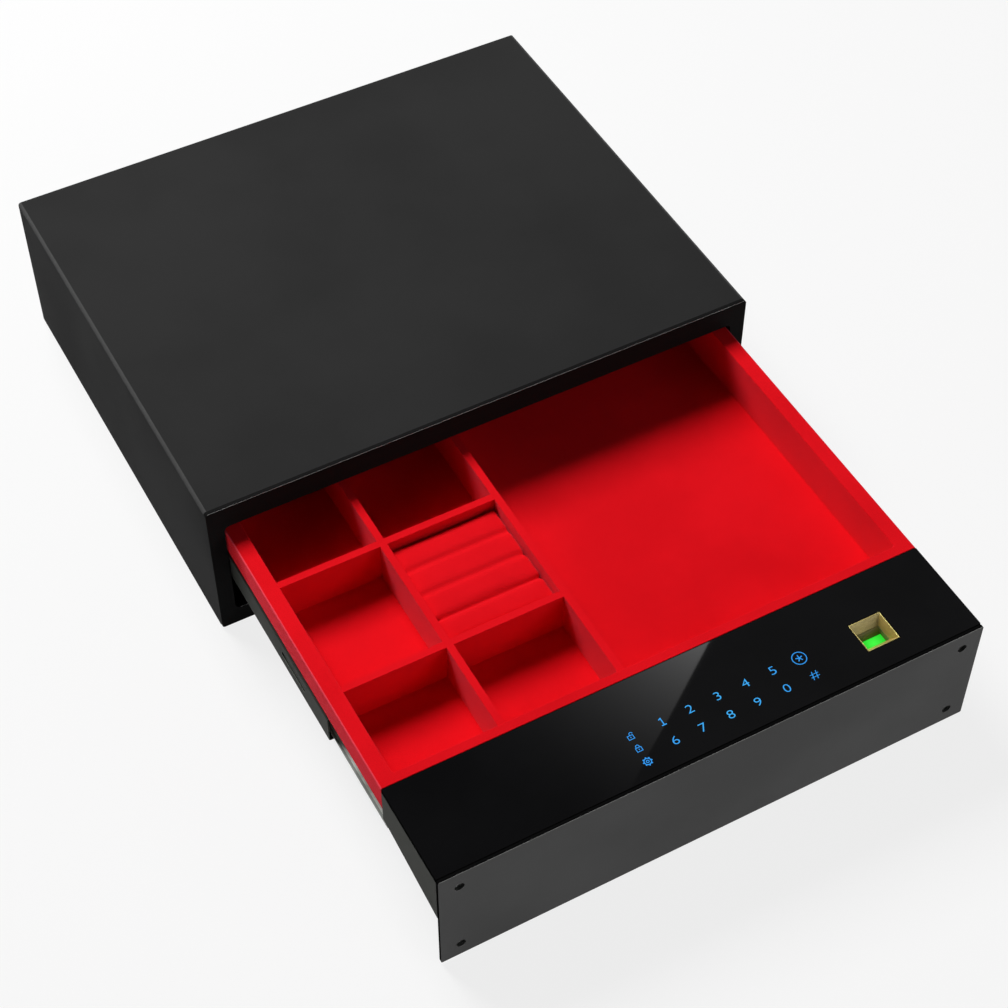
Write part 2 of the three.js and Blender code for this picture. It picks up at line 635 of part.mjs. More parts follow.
// Head housing: a trough under the glass, with a sloping floor, posts for the boards and a battery opening.
function buildHeadHousing() {
  const postInset = 5;
  const nutHole = nutRadius + runningGap;
  const floorRise = shellGauge / Math.cos(slopeAngle);
  const outer = outlineOf([
    [headBack, shellRearFoot],
    [headBack, shellTop],
    [shellFront, shellTop],
    [shellFront, shellFrontFoot],
  ]);
  const innerBack = headBack - shellGauge;
  const innerFront = shellFront + shellGauge;
  const inner = outlineOf([
    [innerBack, footAt(innerBack) + floorRise],
    [innerBack, shellTop + cutOverrun],
    [innerFront, shellTop + cutOverrun],
    [innerFront, footAt(innerFront) + floorRise],
  ]);
  const trough = cut(
    along("x", outer, [-rimHalf, rimHalf]),
    along("x", inner, [shellGauge - rimHalf, rimHalf - shellGauge]),
  );
  const posts = [
    ...postsUnder(keypadBoardX, keypadBoardY, keypadBoardTop, postInset),
    ...postsUnder(mainBoardX, mainBoardY, mainBoardTop, postInset),
  ];
  const upperHole = plateHoleHeights[1];
  const frontBore = [shellFront - cutOverrun, shellFront + shellGauge + cutOverrun];
  const nutX = rimHalf - plateHoleInset;
  const nutHoles = sides.map(([, s]) => rod("y", nutHole, frontBore, [s * nutX, upperHole]));
  const cellOpening = onSlope(block(pocketX, pocketY, [-cutOverrun, shellGauge + cutOverrun]));
  const leadBore = [footAt(leadY) - cutOverrun, footAt(leadY) + cutOverrun];
  const leadHole = rod("z", leadHoleRadius, leadBore, [0, leadY]);
  add("head_housing", cut(join(trough, ...posts), ...nutHoles, cellOpening, leadHole), black);
}

// Front plate with four holes, and the captive nuts behind them for a decorative drawer front.
function buildFrontPlate() {
  const plateCorner = 1;
  const threadRadius = 2.9;
  const nutSides = 6;
  const plate = rounded([-rimHalf, rimHalf], [plateFoot, drawerTop], plateCorner);
  const places = sides.flatMap(([side, s]) =>
    plateHoleHeights.map((z, i) => [`${i ? "upper" : "lower"}_${side}`, s * (rimHalf - plateHoleInset), z]),
  );
  places.forEach(([, x, z]) => plate.holes.push(circle(x, z, plateHoleRadius)));
  add("front_plate", along("y", plate, [plateFront, plateBack]), black);
  places.forEach(([name, x, z]) => {
    const corner = (i) => (i * 2 * Math.PI) / nutSides;
    const corners = Array.from({ length: nutSides }, (_, i) => [
      x + nutRadius * Math.cos(corner(i)),
      z + nutRadius * Math.sin(corner(i)),
    ]);
    const nut = outlineOf(corners);
    nut.holes.push(circle(x, z, threadRadius));
    add(`plate_nut_${name}`, along("y", nut, [nutSeat, nutSeat + nutLength]), zinc);
  });
}

function buildGlass() {
  const glassCorner = 0.8;
  const panel = rounded([-rimHalf, rimHalf], [plateBack + seatGap, headBack], glassCorner);
  const windowX = about(readerX, stemWidth + 2 * seatGap);
  const windowY = about(readerY, stemDepth + 2 * seatGap);
  const glass = along("z", panel, [drawerTop - glassThickness, drawerTop]);
  add("glass_panel", cut(glass, block(windowX, windowY, [shellTop, drawerTop + cutOverrun])), darkGlass);
}

// A four-sided funnel that narrows downwards, over the given heights.
function funnel([topWidth, topDepth], [footWidth, footDepth], [foot, top]) {
  const square = Math.SQRT1_2; // corner radius of a square with unit sides
  const shape = new THREE.CylinderGeometry(square, square, top - foot, 4, 1);
  shape.rotateX(Math.PI / 2).rotateZ(Math.PI / 4);
  const points = shape.getAttribute("position");
  for (let i = 0; i < points.count; i++) {
    const upper = points.getZ(i) > 0;
    points.setX(i, points.getX(i) * (upper ? topWidth : footWidth));
    points.setY(i, points.getY(i) * (upper ? topDepth : footDepth));
  }
  return shape.translate(0, 0, (foot + top) / 2);
}

// Fingerprint reader: a plated bezel through the glass, a black well under it and the lit sensor in the well.
// The well's back wall slopes forward to the sensor, which lies towards the front.
function buildReader() {
  const mouth = [22, 21]; // bezel's opening at the glass
  const throat = [16.4, 12]; // and at its foot
  const bezelDepth = 6;
  const flangeGauge = 1.2;
  const wellWidth = 16;
  const wellDepth = 11.6; // at the bezel's foot
  const sensorDepth = 7.8;
  const wellHeight = 8;
  const sensorDrop = 3.6; // sensor's face below the bezel
  const sensorGauge = 2;
  const bezelFoot = drawerTop - bezelDepth;
  const slab = (width, depth, height) => block(about(readerX, width), about(readerY, depth), height);
  const stem = slab(stemWidth, stemDepth, [bezelFoot, drawerTop]);
  const flange = slab(flangeWidth, flangeDepth, [shellTop - flangeGauge, shellTop]);
  const opening = funnel(mouth, throat, [bezelFoot, drawerTop]).translate(readerX, readerY, 0);
  const above = slab(...mouth, [drawerTop, drawerTop + cutOverrun]);
  const below = slab(...throat, [bezelFoot - cutOverrun, bezelFoot]);
  add("fingerprint_bezel", cut(join(stem, flange), join(opening, above, below)), gold);

  const wellTop = bezelFoot - seatGap;
  const wellFoot = wellTop - wellHeight;
  const sensorTop = wellTop - sensorDrop;
  const sensorFoot = sensorTop - sensorGauge;
  const wellFloor = sensorFoot - seatGap;
  const wellSpan = about(readerX, wellWidth);
  const [wellFront, wellBack] = about(readerY, wellDepth);
  const sensorFront = wellFront + seatGap;
  const sensorBack = sensorFront + sensorDepth;
  const profile = outlineOf([
    [wellFront, wellFloor],
    [sensorBack + seatGap, wellFloor],
    [sensorBack + seatGap, sensorTop],
    [wellBack, wellTop],
    [wellBack, wellTop + cutOverrun],
    [wellFront, wellTop + cutOverrun],
  ]);
  const body = slab(stemWidth, stemDepth, [wellFoot, wellTop]);
  add("sensor_housing", cut(body, along("x", profile, wellSpan)), plastic);
  const sensorSpan = about(readerX, wellWidth - 2 * seatGap);
  add("fingerprint_sensor", block(sensorSpan, [sensorFront, sensorBack], [sensorFoot, sensorTop]), green);
}

function buildBoards() {
  const boards = [
    ["keypad_board", keypadBoardX, keypadBoardY, keypadBoardTop],
    ["main_board", mainBoardX, mainBoardY, mainBoardTop],
  ];
  boards.forEach(([name, x, y, top]) => add(name, block(x, y, [top - boardGauge, top]), laminate));
}

// Battery box, its four cells and the hinged cover in the head's underside.
function buildBattery() {
  const terminalRadius = 2.7;
  const boxRoof = 1.2;
  const cellFoot = shellGauge + cellGap;
  const pocketTop = cellFoot + 2 * cellRadius + cellGap;
  const boxFoot = shellGauge + seatGap;
  const outerX = [pocketX[0] - boxWall, pocketX[1] + boxWall];
  const outerY = [pocketY[0] - boxWall, pocketY[1] + boxWall];
  const box = block(outerX, outerY, [boxFoot, pocketTop + boxRoof]);
  const pocket = block(pocketX, pocketY, [boxFoot - cutOverrun, pocketTop]);
  add("battery_box", onSlope(cut(box, pocket)), plastic);

  const cellProfile = [
    [0, -cellLength / 2],
    [cellRadius, -cellLength / 2],
    [cellRadius, cellLength / 2],
    [terminalRadius, cellLength / 2],
    [terminalRadius, cellLength / 2 + terminalLength],
    [0, cellLength / 2 + terminalLength],
  ];
  const cellX = (pocketX[0] + pocketX[1]) / 2;
  for (let i = 0; i < cellCount; i++) {
    const facing = i % 2 ? -1 : 1;
    const cell = turned(cellProfile).rotateY((facing * Math.PI) / 2);
    const y = pocketY[0] + seatGap + (i + 0.5) * cellPitch;
    add(`battery_${i + 1}`, onSlope(cell.translate(cellX, y, cellFoot + cellRadius)), cellJacket);
  }

  const coverX = [pocketX[0] + runningGap, pocketX[1] - runningGap];
  const coverRear = pocketY[1] - runningGap;
  const lid = block(coverX, [pocketY[0] + runningGap, coverRear - hingeRadius], [0, shellGauge]);
  const barrel = rod("x", hingeRadius, coverX, [coverRear - hingeRadius, shellGauge / 2]);
  add("battery_cover", onSlope(join(lid, barrel)), plastic);
}

// One flank of a pinion tooth, from its root to its tip: an involute, and a radial line below its base
// circle. Each point is a radius and the half angle of the tooth there.
function toothFlank(pressureAngle, backlash, rootDrop, tipRise) {
  const flankSteps = 3;
  const baseRadius = pitchRadius * Math.cos(pressureAngle);
  const involute = (angle) => Math.tan(angle) - angle;
  const pitchHalf = (gearModule * Math.PI) / 4 - backlash / 2;
  const halfAngle = (radius) => {
    const angle = Math.acos(Math.min(1, baseRadius / radius));
    return pitchHalf / pitchRadius + involute(pressureAngle) - involute(angle);
  };
  const tipRadius = pitchRadius + tipRise;
  const radii = Array.from(
    { length: flankSteps + 1 },
    (_, i) => baseRadius + ((tipRadius - baseRadius) * i) / flankSteps,
  );
  const flank = radii.map((radius) => [radius, halfAngle(radius)]);
  return [[pitchRadius - rootDrop, halfAngle(baseRadius)], ...flank];
}

// Lock: a cradle under the pan with its motor, a pinion between two racks, and a bolt on each rack.
function buildLock() {
  const cradleHalf = 40; // along x
  const shaftRadius = 2;
  const shaftHole = shaftRadius + 2 * runningGap;
  const cradleFoot = cradleTop - cradleHeight;
  const leg = legOuter - cradleGauge;
  const foot = legOuter + footLength;
  const cradleOutline = outlineOf([
    [lockY - foot, cradleTop],
    [lockY - foot, cradleTop - cradleGauge],
    [lockY - legOuter, cradleTop - cradleGauge],
    [lockY - legOuter, cradleFoot],
    [lockY + legOuter, cradleFoot],
    [lockY + legOuter, cradleTop - cradleGauge],
    [lockY + foot, cradleTop - cradleGauge],
    [lockY + foot, cradleTop],
    [lockY + leg, cradleTop],
    [lockY + leg, cradleFloor],
    [lockY - leg, cradleFloor],
    [lockY - leg, cradleTop],
  ]);
  const shaftBore = rod("z", shaftHole, [cradleFoot - cutOverrun, cradleFloor + cutOverrun], [0, lockY]);
  const screwBores = sides.map(([, s]) => {
    const bore = [cradleTop - cradleGauge - cutOverrun, cradleTop + cutOverrun];
    return rod("z", lockScrewRadius + seatGap, bore, [0, lockY + s * lockScrewOffset]);
  });
  const cradle = along("x", cradleOutline, [-cradleHalf, cradleHalf]);
  add("lock_cradle", cut(cradle, shaftBore, ...screwBores), zinc);
  buildLockScrews();
  buildMotor(cradleFoot, shaftRadius);
  buildPinion(shaftRadius);
  buildBolts(cradleHalf);
  buildBoltGuides();
}

function buildLockScrews() {
  const headRadius = 3.5;
  const headHeight = 2;
  const seat = cradleTop - cradleGauge - screwHeadGap;
  sides.forEach(([, s], i) => {
    const screw = turned([
      [0, seat - headHeight],
      [headRadius, seat - headHeight],
      [headRadius, seat],
      [lockScrewRadius, seat],
      [lockScrewRadius, drawerFoot + panGauge],
      [0, drawerFoot + panGauge],
    ], 12);
    add(`lock_screw_${i + 1}`, screw.translate(0, lockY + s * lockScrewOffset, 0), zinc);
  });
}

// The geared motor hangs under the cradle, with its shaft up through it.
const motorRadius = 11;
const motorHeight = 17;

function buildMotor(cradleFoot, shaftRadius) {
  const canEdge = 1; // rounding of the can's lower edge
  const top = cradleFoot - seatGap;
  const foot = top - motorHeight;
  const motor = turned([
    [0, foot],
    [motorRadius - canEdge, foot],
    [motorRadius, foot + canEdge],
    [motorRadius, top],
    [shaftRadius, top],
    [shaftRadius, cradleFloor + seatGap + boltHeight],
    [0, cradleFloor + seatGap + boltHeight],
  ], 24);
  add("lock_motor", motor.translate(0, lockY, 0), blackSteel);
}

const pressureAngle = Math.PI / 9;
const backlash = 0.3;

function buildPinion(shaftRadius) {
  const rootDrop = 1.4;
  const tipRise = 1.3;
  const flank = toothFlank(pressureAngle, backlash, rootDrop, tipRise);
  const outline = [];
  for (let tooth = 0; tooth < pinionTeeth; tooth++) {
    const centre = (tooth * 2 * Math.PI) / pinionTeeth;
    const rising = flank.map(([radius, half]) => [radius, centre - half]);
    const falling = flank.map(([radius, half]) => [radius, centre + half]).reverse();
    [...rising, ...falling].forEach(([radius, angle]) => {
      outline.push([radius * Math.cos(angle), radius * Math.sin(angle)]);
    });
  }
  const gear = outlineOf(outline);
  gear.holes.push(circle(0, 0, shaftRadius + seatGap));
  const height = [cradleFloor + seatGap, cradleFloor + seatGap + boltHeight];
  add("lock_pinion", along("z", gear, height).translate(0, lockY, 0), zinc);
}

// Points of a rack's toothed edge, from its inner end outwards. Its teeth point to the pinion, and a tooth
// space lies over the pinion's axis at rest. x and y are measured from that axis, outwards and away from it.
function rackEdge(x0, x1) {
  const pitch = gearModule * Math.PI;
  const half = pitch / 4 - backlash / 2;
  const tipHalf = half - rackTip * Math.tan(pressureAngle);
  const rootHalf = half + rackRoot * Math.tan(pressureAngle);
  const rootY = pitchRadius + rackRoot;
  const tipY = pitchRadius - rackTip;
  const points = [[x0, rootY]];
  const first = Math.ceil((x0 + rootHalf) / pitch - 0.5);
  const last = Math.floor((x1 - rootHalf) / pitch - 0.5);
  for (let tooth = first; tooth <= last; tooth++) {
    const x = (tooth + 0.5) * pitch;
    points.push([x - rootHalf, rootY], [x - tipHalf, tipY], [x + tipHalf, tipY], [x + rootHalf, rootY]);
  }
  points.push([x1, rootY]);
  return points;
}

// Two bolts, each with its rack. The right bolt's rack runs in front of the pinion, in line with the bolt.
// The left bolt's rack runs behind it, and an arm brings the bolt forward to the same line.
function buildBolts(cradleHalf) {
  const rackInner = -(boltThrow + pitchRadius); // the rack's inner end, past the pinion's axis
  const rackOuter = 9; // where the teeth end, outwards
  const wideStart = cradleHalf + cutOverrun; // the bolt is wider from here outwards
  const armWidth = 10;
  const boltFront = lockY - boltY + boltWidth / 2;
  const boltRear = lockY - boltY - boltWidth / 2;
  const rightPoints = [
    ...rackEdge(rackInner, rackOuter),
    [wideStart, pitchRadius + rackRoot],
    [wideStart, boltRear],
    [panHalf, boltRear],
    [panHalf, boltFront],
    [wideStart, boltFront],
    [wideStart, rackBack],
    [rackInner, rackBack],
  ];
  const leftPoints = [
    ...rackEdge(rackInner, rackOuter),
    [wideStart, pitchRadius + rackRoot],
    [wideStart, -boltFront],
    [panHalf, -boltFront],
    [panHalf, -boltRear],
    [wideStart + armWidth, -boltRear],
    [wideStart + armWidth, rackBack],
    [rackInner, rackBack],
  ];
  const height = [cradleFloor + seatGap, cradleFloor + seatGap + boltHeight];
  const right = outlineOf(rightPoints.map(([x, y]) => [x, lockY - y]));
  const left = outlineOf(leftPoints.map(([x, y]) => [-x, lockY + y]));
  add("bolt_right", along("z", right, height), zinc);
  add("bolt_left", along("z", left, height), zinc);
}

// A guide for each bolt hangs from the pan near its side.
function buildBoltGuides() {
  const guideWidth = 16; // along x
  const guideInset = 20; // from the pan's side
  const guideWall = 3;
  const boltFoot = cradleFloor + seatGap;
  const slotZ = [boltFoot - runningGap, boltFoot + boltHeight + runningGap];
  const guideDepth = boltWidth + 2 * (runningGap + guideWall);
  sides.forEach(([side, s]) => {
    const centre = s * (panHalf - guideInset);
    const guideZ = [slotZ[0] - guideWall / 2, cradleTop];
    const guide = block(about(centre, guideWidth), about(boltY, guideDepth), guideZ);
    const slotY = about(boltY, boltWidth + 2 * runningGap);
    const slot = block(about(centre, guideWidth + cutOverrun), slotY, slotZ);
    add(`bolt_guide_${side}`, cut(guide, slot), zinc);
  });
}

// The motor's lead runs forward under the head's back wall and up through the head's floor to the main board.
function buildMotorLead() {
  const leadFacets = 8;
  const leadSteps = 16;
  const startY = lockY - motorRadius - seatGap;
  const startZ = cradleTop - cradleHeight - motorHeight / 2;
  const boardFoot = mainBoardTop - boardGauge;
  const route = new THREE.CatmullRomCurve3([
    new THREE.Vector3(0, startY, startZ),
    new THREE.Vector3(0, (startY + headBack) / 2, startZ),
    new THREE.Vector3(0, headBack, (startZ + shellRearFoot) / 2),
    new THREE.Vector3(0, leadY, shellRearFoot - cutOverrun),
    new THREE.Vector3(0, leadY, boardFoot - 2 * seatGap),
  ]);
  const section = new THREE.Shape().absarc(0, 0, leadRadius, 0, 2 * Math.PI);
  const settings = { steps: leadSteps, curveSegments: leadFacets, extrudePath: route };
  add("motor_lead", new THREE.ExtrudeGeometry(section, settings), rubber);
}

buildCasing();
sides.forEach(([side, s]) => {
  buildSlide(side, s);
  buildRetainers(side, s);
});
buildPan();
buildTray();
buildOrganizer();
buildRingCushion();
buildHeadHousing();
buildFrontPlate();
buildGlass();
buildReader();
buildBoards();
buildBattery();
buildLock();
buildMotorLead();

export default safe;
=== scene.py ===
"""Looks of a drawer safe that is fastened under a desk.

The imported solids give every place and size. This script adds rolled and rounded edges, the flocked lining,
the padded ring cushion, the lit keypad and the finishes. Sizes in the classes are millimetres in the safe's
frame: +Z up, the drawer opens towards -Y, and the origin is the centre of the casing's underside.
"""

import logging
import math
from dataclasses import dataclass
from enum import Enum
from typing import Callable, ClassVar, Mapping, Sequence

import bmesh
import bpy
from bmesh.types import BMEdge, BMesh, BMFace, BMVert
from bpy.types import ID, Material, Mesh, Node, NodeSocket, NodeTree, Object
from mathutils import Matrix, Vector


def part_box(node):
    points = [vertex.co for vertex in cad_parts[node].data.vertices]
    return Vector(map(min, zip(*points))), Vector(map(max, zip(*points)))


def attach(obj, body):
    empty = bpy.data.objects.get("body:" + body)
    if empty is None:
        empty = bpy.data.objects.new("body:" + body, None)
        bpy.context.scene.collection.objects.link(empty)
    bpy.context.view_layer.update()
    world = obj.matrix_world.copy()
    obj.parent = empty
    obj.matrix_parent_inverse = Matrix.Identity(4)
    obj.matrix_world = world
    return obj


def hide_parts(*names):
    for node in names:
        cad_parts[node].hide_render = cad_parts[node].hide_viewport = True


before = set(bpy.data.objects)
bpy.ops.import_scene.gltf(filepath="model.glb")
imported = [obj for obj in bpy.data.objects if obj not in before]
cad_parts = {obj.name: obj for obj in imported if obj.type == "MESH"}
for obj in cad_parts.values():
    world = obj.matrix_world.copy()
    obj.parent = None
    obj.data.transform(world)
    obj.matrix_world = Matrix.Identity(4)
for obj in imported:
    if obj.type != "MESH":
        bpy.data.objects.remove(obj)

LOG = logging.getLogger("drawer_safe")
MM = 0.001
# Millimetres within which two places count as one
NEAR = 0.01
QUARTER = math.pi / 2
# Faces of rounded edges that carry this mark get a painted highlight from most finishes, and rubbed bare
# spots on paint and plastic
EDGE_MARK = "edge"
COAT = "black_powder_coat"
Span = tuple[float, float]
Spot = tuple[float, float]
Colour = tuple[float, float, float]
Value = float | Sequence[float] | NodeSocket
Sockets = Mapping[str, NodeSocket]
Test = Callable[[Vector], bool]


def tint(*levels: int) -> Colour:
    """Turns a picture's red, green and blue, or its one grey, 0 to 255, into a shader's light values."""
    shares = [level / 255 for level in (levels if len(levels) == 3 else levels * 3)]
    return tuple(share / 12.92 if share <= 0.04045 else ((share + 0.055) / 1.055) ** 2.4 for share in shares)


def toned(colour: Colour, share: float, lift: float = 0) -> Colour:
    """Makes a colour darker or paler."""
    return tuple(min(1, share * value + lift) for value in colour)


class Body(Enum):
    """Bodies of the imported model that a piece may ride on."""

    CASING = "casing"
    DRAWER = "drawer"
    MIDDLE_LEFT = "middle_left"
    MIDDLE_RIGHT = "middle_right"
    BATTERY_DOOR = "battery_door"
    BOLT_LEFT = "left_bolt"
    BOLT_RIGHT = "right_bolt"


class Side(Enum):
    """Left and right of the safe, with the sign of x there."""

    LEFT = -1
    RIGHT = 1

    @property
    def word(self) -> str:
        """The side's name in the solids' names."""
        return self.name.lower()


class Join(Enum):
    """How two closed shapes are put together."""

    ADD = "UNION"
    CUT = "DIFFERENCE"


# Node trees


class Patch:
    """A node tree that is being wired, either a material's or a group's."""

    def __init__(self, tree: NodeTree) -> None:
        """Starts on a node tree."""
        self.tree = tree

    def feed(self, value: Value, target: NodeSocket) -> None:
        """Links a socket to another, or gives it a number, a place or a colour.

        Args:
            value: What it takes.
            target: The socket.
        """
        if isinstance(value, NodeSocket):
            self.tree.links.new(value, target)
        else:
            target.default_value = (*value, 1) if target.type == "RGBA" else value

    def add(self, kind: str, feeds: Mapping[str | int, Value] | None = None, **settings: object) -> Node:
        """Adds a shader node.

        Args:
            kind: The node's type after the word ShaderNode.
            feeds: What its sockets take, by their names or places.
            settings: Properties of the node.

        Returns:
            The new node.
        """
        node = self.tree.nodes.new(f"ShaderNode{kind}")
        for name, value in settings.items():
            setattr(node, name, value)
        for name, value in (feeds or {}).items():
            self.feed(value, node.inputs[name])
        return node

    def effect(self, effect: "Effect", place: NodeSocket, scale: float, **more: float) -> Sockets:
        """Places a shared effect, and returns what it gives."""
        return self.add("Group", {"Vector": place, "Scale": scale, **more}, node_tree=effect.tree()).outputs

    def noise(self, place: NodeSocket, scale: Value, detail: float = 3, rough: float = 0.5) -> NodeSocket:
        """Adds a noise pattern with so many waves per metre and finer layers of some strength."""
        feeds = {"Vector": place, "Scale": scale, "Detail": detail, "Roughness": rough}
        return self.add("TexNoise", feeds).outputs["Fac"]

    def math(self, operation: str, first: Value, second: Value = 0) -> NodeSocket:
        """Works out a value from one or two others."""
        return self.add("Math", {0: first, 1: second}, operation=operation).outputs[0]

    def plus(self, first: Value, second: Value) -> NodeSocket:
        """Adds two values."""
        return self.math("ADD", first, second)

    def times(self, first: Value, second: Value) -> NodeSocket:
        """Multiplies two values."""
        return self.math("MULTIPLY", first, second)

    def spread(self, value: NodeSocket, source: Span, target: Span = (0, 1)) -> NodeSocket:
        """Maps a value from one range to another and clamps it.

        Args:
            value: The value.
            source: The range that it comes from.
            target: The range that it goes to.

        Returns:
            The mapped value.
        """
        ends = dict(zip(("From Min", "From Max", "To Min", "To Max"), (*source, *target)))
        node = self.add("MapRange", {"Value": value, **ends}, interpolation_type="SMOOTHSTEP")
        return node.outputs["Result"]

    def blend(self, share: NodeSocket, low: Value, high: Value) -> NodeSocket:
        """Mixes two colours, from the first at a share of 0 to the second at 1."""
        return self.add("Mix", {"Factor": share, 6: low, 7: high}, data_type="RGBA").outputs[2]

    def bump(self, height: NodeSocket, strength: float, depth: float) -> NodeSocket:
        """Turns a height, 0 to 1, into a normal, for a depth in metres."""
        return self.add("Bump", {"Height": height, "Strength": strength, "Distance": depth}).outputs["Normal"]

    def away(self, place: NodeSocket, centre: Sequence[float]) -> NodeSocket:
        """Works out the distance from a centre, in metres."""
        shifted = self.add("Mapping", {"Vector": place, "Location": tuple(-value for value in centre)})
        return self.add("VectorMath", {0: shifted.outputs["Vector"]}, operation="LENGTH").outputs["Value"]

    def edge(self) -> NodeSocket:
        """Reads the mark of a piece's rounded edges."""
        return self.add("Attribute", attribute_name=EDGE_MARK).outputs["Fac"]

    def place(self) -> NodeSocket:
        """Reads the place on an object, in metres."""
        return self.add("TexCoord").outputs["Object"]


def open_material(name: str) -> tuple[Material, Patch]:
    """Makes an empty material.

    Args:
        name: The material's name.

    Returns:
        The material, and the patch that wires it.
    """
    material = bpy.data.materials.new(name)
    material.use_nodes = True
    material.node_tree.nodes.clear()
    return material, Patch(material.node_tree)


@dataclass(frozen=True)
class Effect:
    """A node group that several finishes share. It reads a place, a scale and, for some, more values."""

    name: str
    wire: Callable[[Patch, Sockets], Sequence[NodeSocket]]
    outputs: tuple[str, ...]
    more: tuple[str, ...] = ()

    made: ClassVar[dict[str, NodeTree]] = {}

    def tree(self) -> NodeTree:
        """Hands out the group's tree, built at its first use.

        Returns:
            The tree.
        """
        if self.name not in self.made:
            tree = bpy.data.node_groups.new(self.name, "ShaderNodeTree")
            sockets = [("Vector", "INPUT", "NodeSocketVector")]
            sockets += [(label, "INPUT", "NodeSocketFloat") for label in ("Scale", *self.more)]
            sockets += [(label, "OUTPUT", "NodeSocketFloat") for label in self.outputs]
            for label, way, kind in sockets:
                tree.interface.new_socket(name=label, in_out=way, socket_type=kind)
            patch = Patch(tree)
            given = tree.nodes.new("NodeGroupInput").outputs
            result = tree.nodes.new("NodeGroupOutput").inputs
            for label, socket in zip(self.outputs, self.wire(patch, given)):
                patch.feed(socket, result[label])
            self.made[self.name] = tree
        return self.made[self.name]


def fine_grain(patch: Patch, given: Sockets) -> Sequence[NodeSocket]:
    """Wires a fine grain in two sizes.

    Args:
        patch: The group's patch.
        given: The group's inputs.

    Returns:
        The grain's height and its specks.
    """
    coarse = patch.noise(given["Vector"], given["Scale"], 2)
    fine = patch.noise(given["Vector"], patch.times(given["Scale"], 3.1), 1)
    height = patch.plus(patch.times(coarse, 0.65), patch.times(fine, 0.35))
    return height, patch.spread(fine, (0.42, 0.68))


def soft_patches(patch: Patch, given: Sockets) -> Sequence[NodeSocket]:
    """Wires soft patches where a surface was touched, wiped or lit unevenly."""
    cloud = patch.noise(given["Vector"], given["Scale"], 4, 0.55)
    return [patch.spread(cloud, (0.32, 0.7))]


def edge_wear(patch: Patch, given: Sockets) -> Sequence[NodeSocket]:
    """Wires masks of a piece's rounded edges, where finishes paint a highlight, and of spots rubbed bare.

    Args:
        patch: The group's patch.
        given: The group's inputs.

    Returns:
        The edges, which take a painted highlight, and the spots on them that are rubbed bare.
    """
    edge = patch.edge()
    broken = patch.spread(patch.noise(given["Vector"], given["Scale"], 4, 0.6), (0.56, 0.66))
    return edge, patch.times(edge, patch.times(broken, given["Rubbed"]))


def drawn_lines(patch: Patch, given: Sockets) -> Sequence[NodeSocket]:
    """Wires fine lines along the drawer's travel, as rolled and plated strip has."""
    stretched = patch.add("Mapping", {"Vector": given["Vector"], "Scale": (1, 0.03, 1)})
    return [patch.noise(stretched.outputs["Vector"], given["Scale"], 3, 0.65)]


GRAIN = Effect("fine_grain", fine_grain, ("Height", "Specks"))
HANDLING = Effect("handling", soft_patches, ("Patches",))
HIGHLIGHT_AND_WEAR = Effect("edge_wear", edge_wear, ("Edge", "Bare"), ("Rubbed",))
LINES = Effect("drawn_lines", drawn_lines, ("Lines",))


# Finishes


@dataclass(frozen=True)
class Finish:
    """A finish of the safe. Each kind says what its shader takes."""

    name: str
    slot: str

    made: ClassVar[dict[str, Material]] = {}

    def material(self) -> Material:
        """Hands out the finish as a material, built at its first use.

        Returns:
            The material.
        """
        if self.name not in self.made:
            material, patch = open_material(self.name)
            shader = patch.add("BsdfPrincipled", self.feeds(patch, patch.place()))
            patch.add("OutputMaterial", {"Surface": shader.outputs["BSDF"]})
            self.made[self.name] = material
        return self.made[self.name]

    def feeds(self, patch: Patch, place: NodeSocket) -> Mapping[str, Value]:
        """Wires the finish, and returns what its shader's sockets take, by their names."""
        raise NotImplementedError


@dataclass(frozen=True)
class PaintedSteel(Finish):
    """Baked powder paint on sheet steel, with orange peel, handled patches and edges rubbed bare, and a paler
    colour painted on its rounded edges as a highlight.
    """

    colour: Colour
    # rim: colour painted on the rounded edges as a highlight; rubbed bare spots take a paler tone of it
    rim: Colour
    roughness: Span = (0.4, 0.5)
    grain: float = 1400
    texture: float = 0.12
    depth: float = 0.00012
    rubbed: float = 0.25
    shine: float = 0.1
    patches: float = 7
    chips: float = 420

    def feeds(self, patch: Patch, place: NodeSocket) -> Mapping[str, Value]:
        """Wires paint with its orange peel, handled patches, rubbed edges and a painted highlight on its
        rounded edges.

        Args:
            patch: The material's patch.
            place: The place on the object.

        Returns:
            What the shader's sockets take, by their names.
        """
        grain = patch.effect(GRAIN, place, self.grain)
        handled = patch.effect(HANDLING, place, self.patches)["Patches"]
        highlight_and_wear = patch.effect(HIGHLIGHT_AND_WEAR, place, self.chips, Rubbed=self.rubbed)
        paint = patch.blend(handled, self.colour, toned(self.colour, 0.86))
        # Painted highlight: the marked rounded edges take the rim colour
        edge_highlighted = patch.blend(highlight_and_wear["Edge"], paint, self.rim)
        mix = patch.plus(handled, patch.times(grain["Specks"], 0.4))
        return {
            "Base Color": patch.blend(highlight_and_wear["Bare"], edge_highlighted, toned(self.rim, 1.7)),
            "Roughness": patch.spread(mix, (0, 1.4), self.roughness),
            "Specular IOR Level": self.shine,
            "Normal": patch.bump(grain["Height"], self.texture, self.depth),
        }


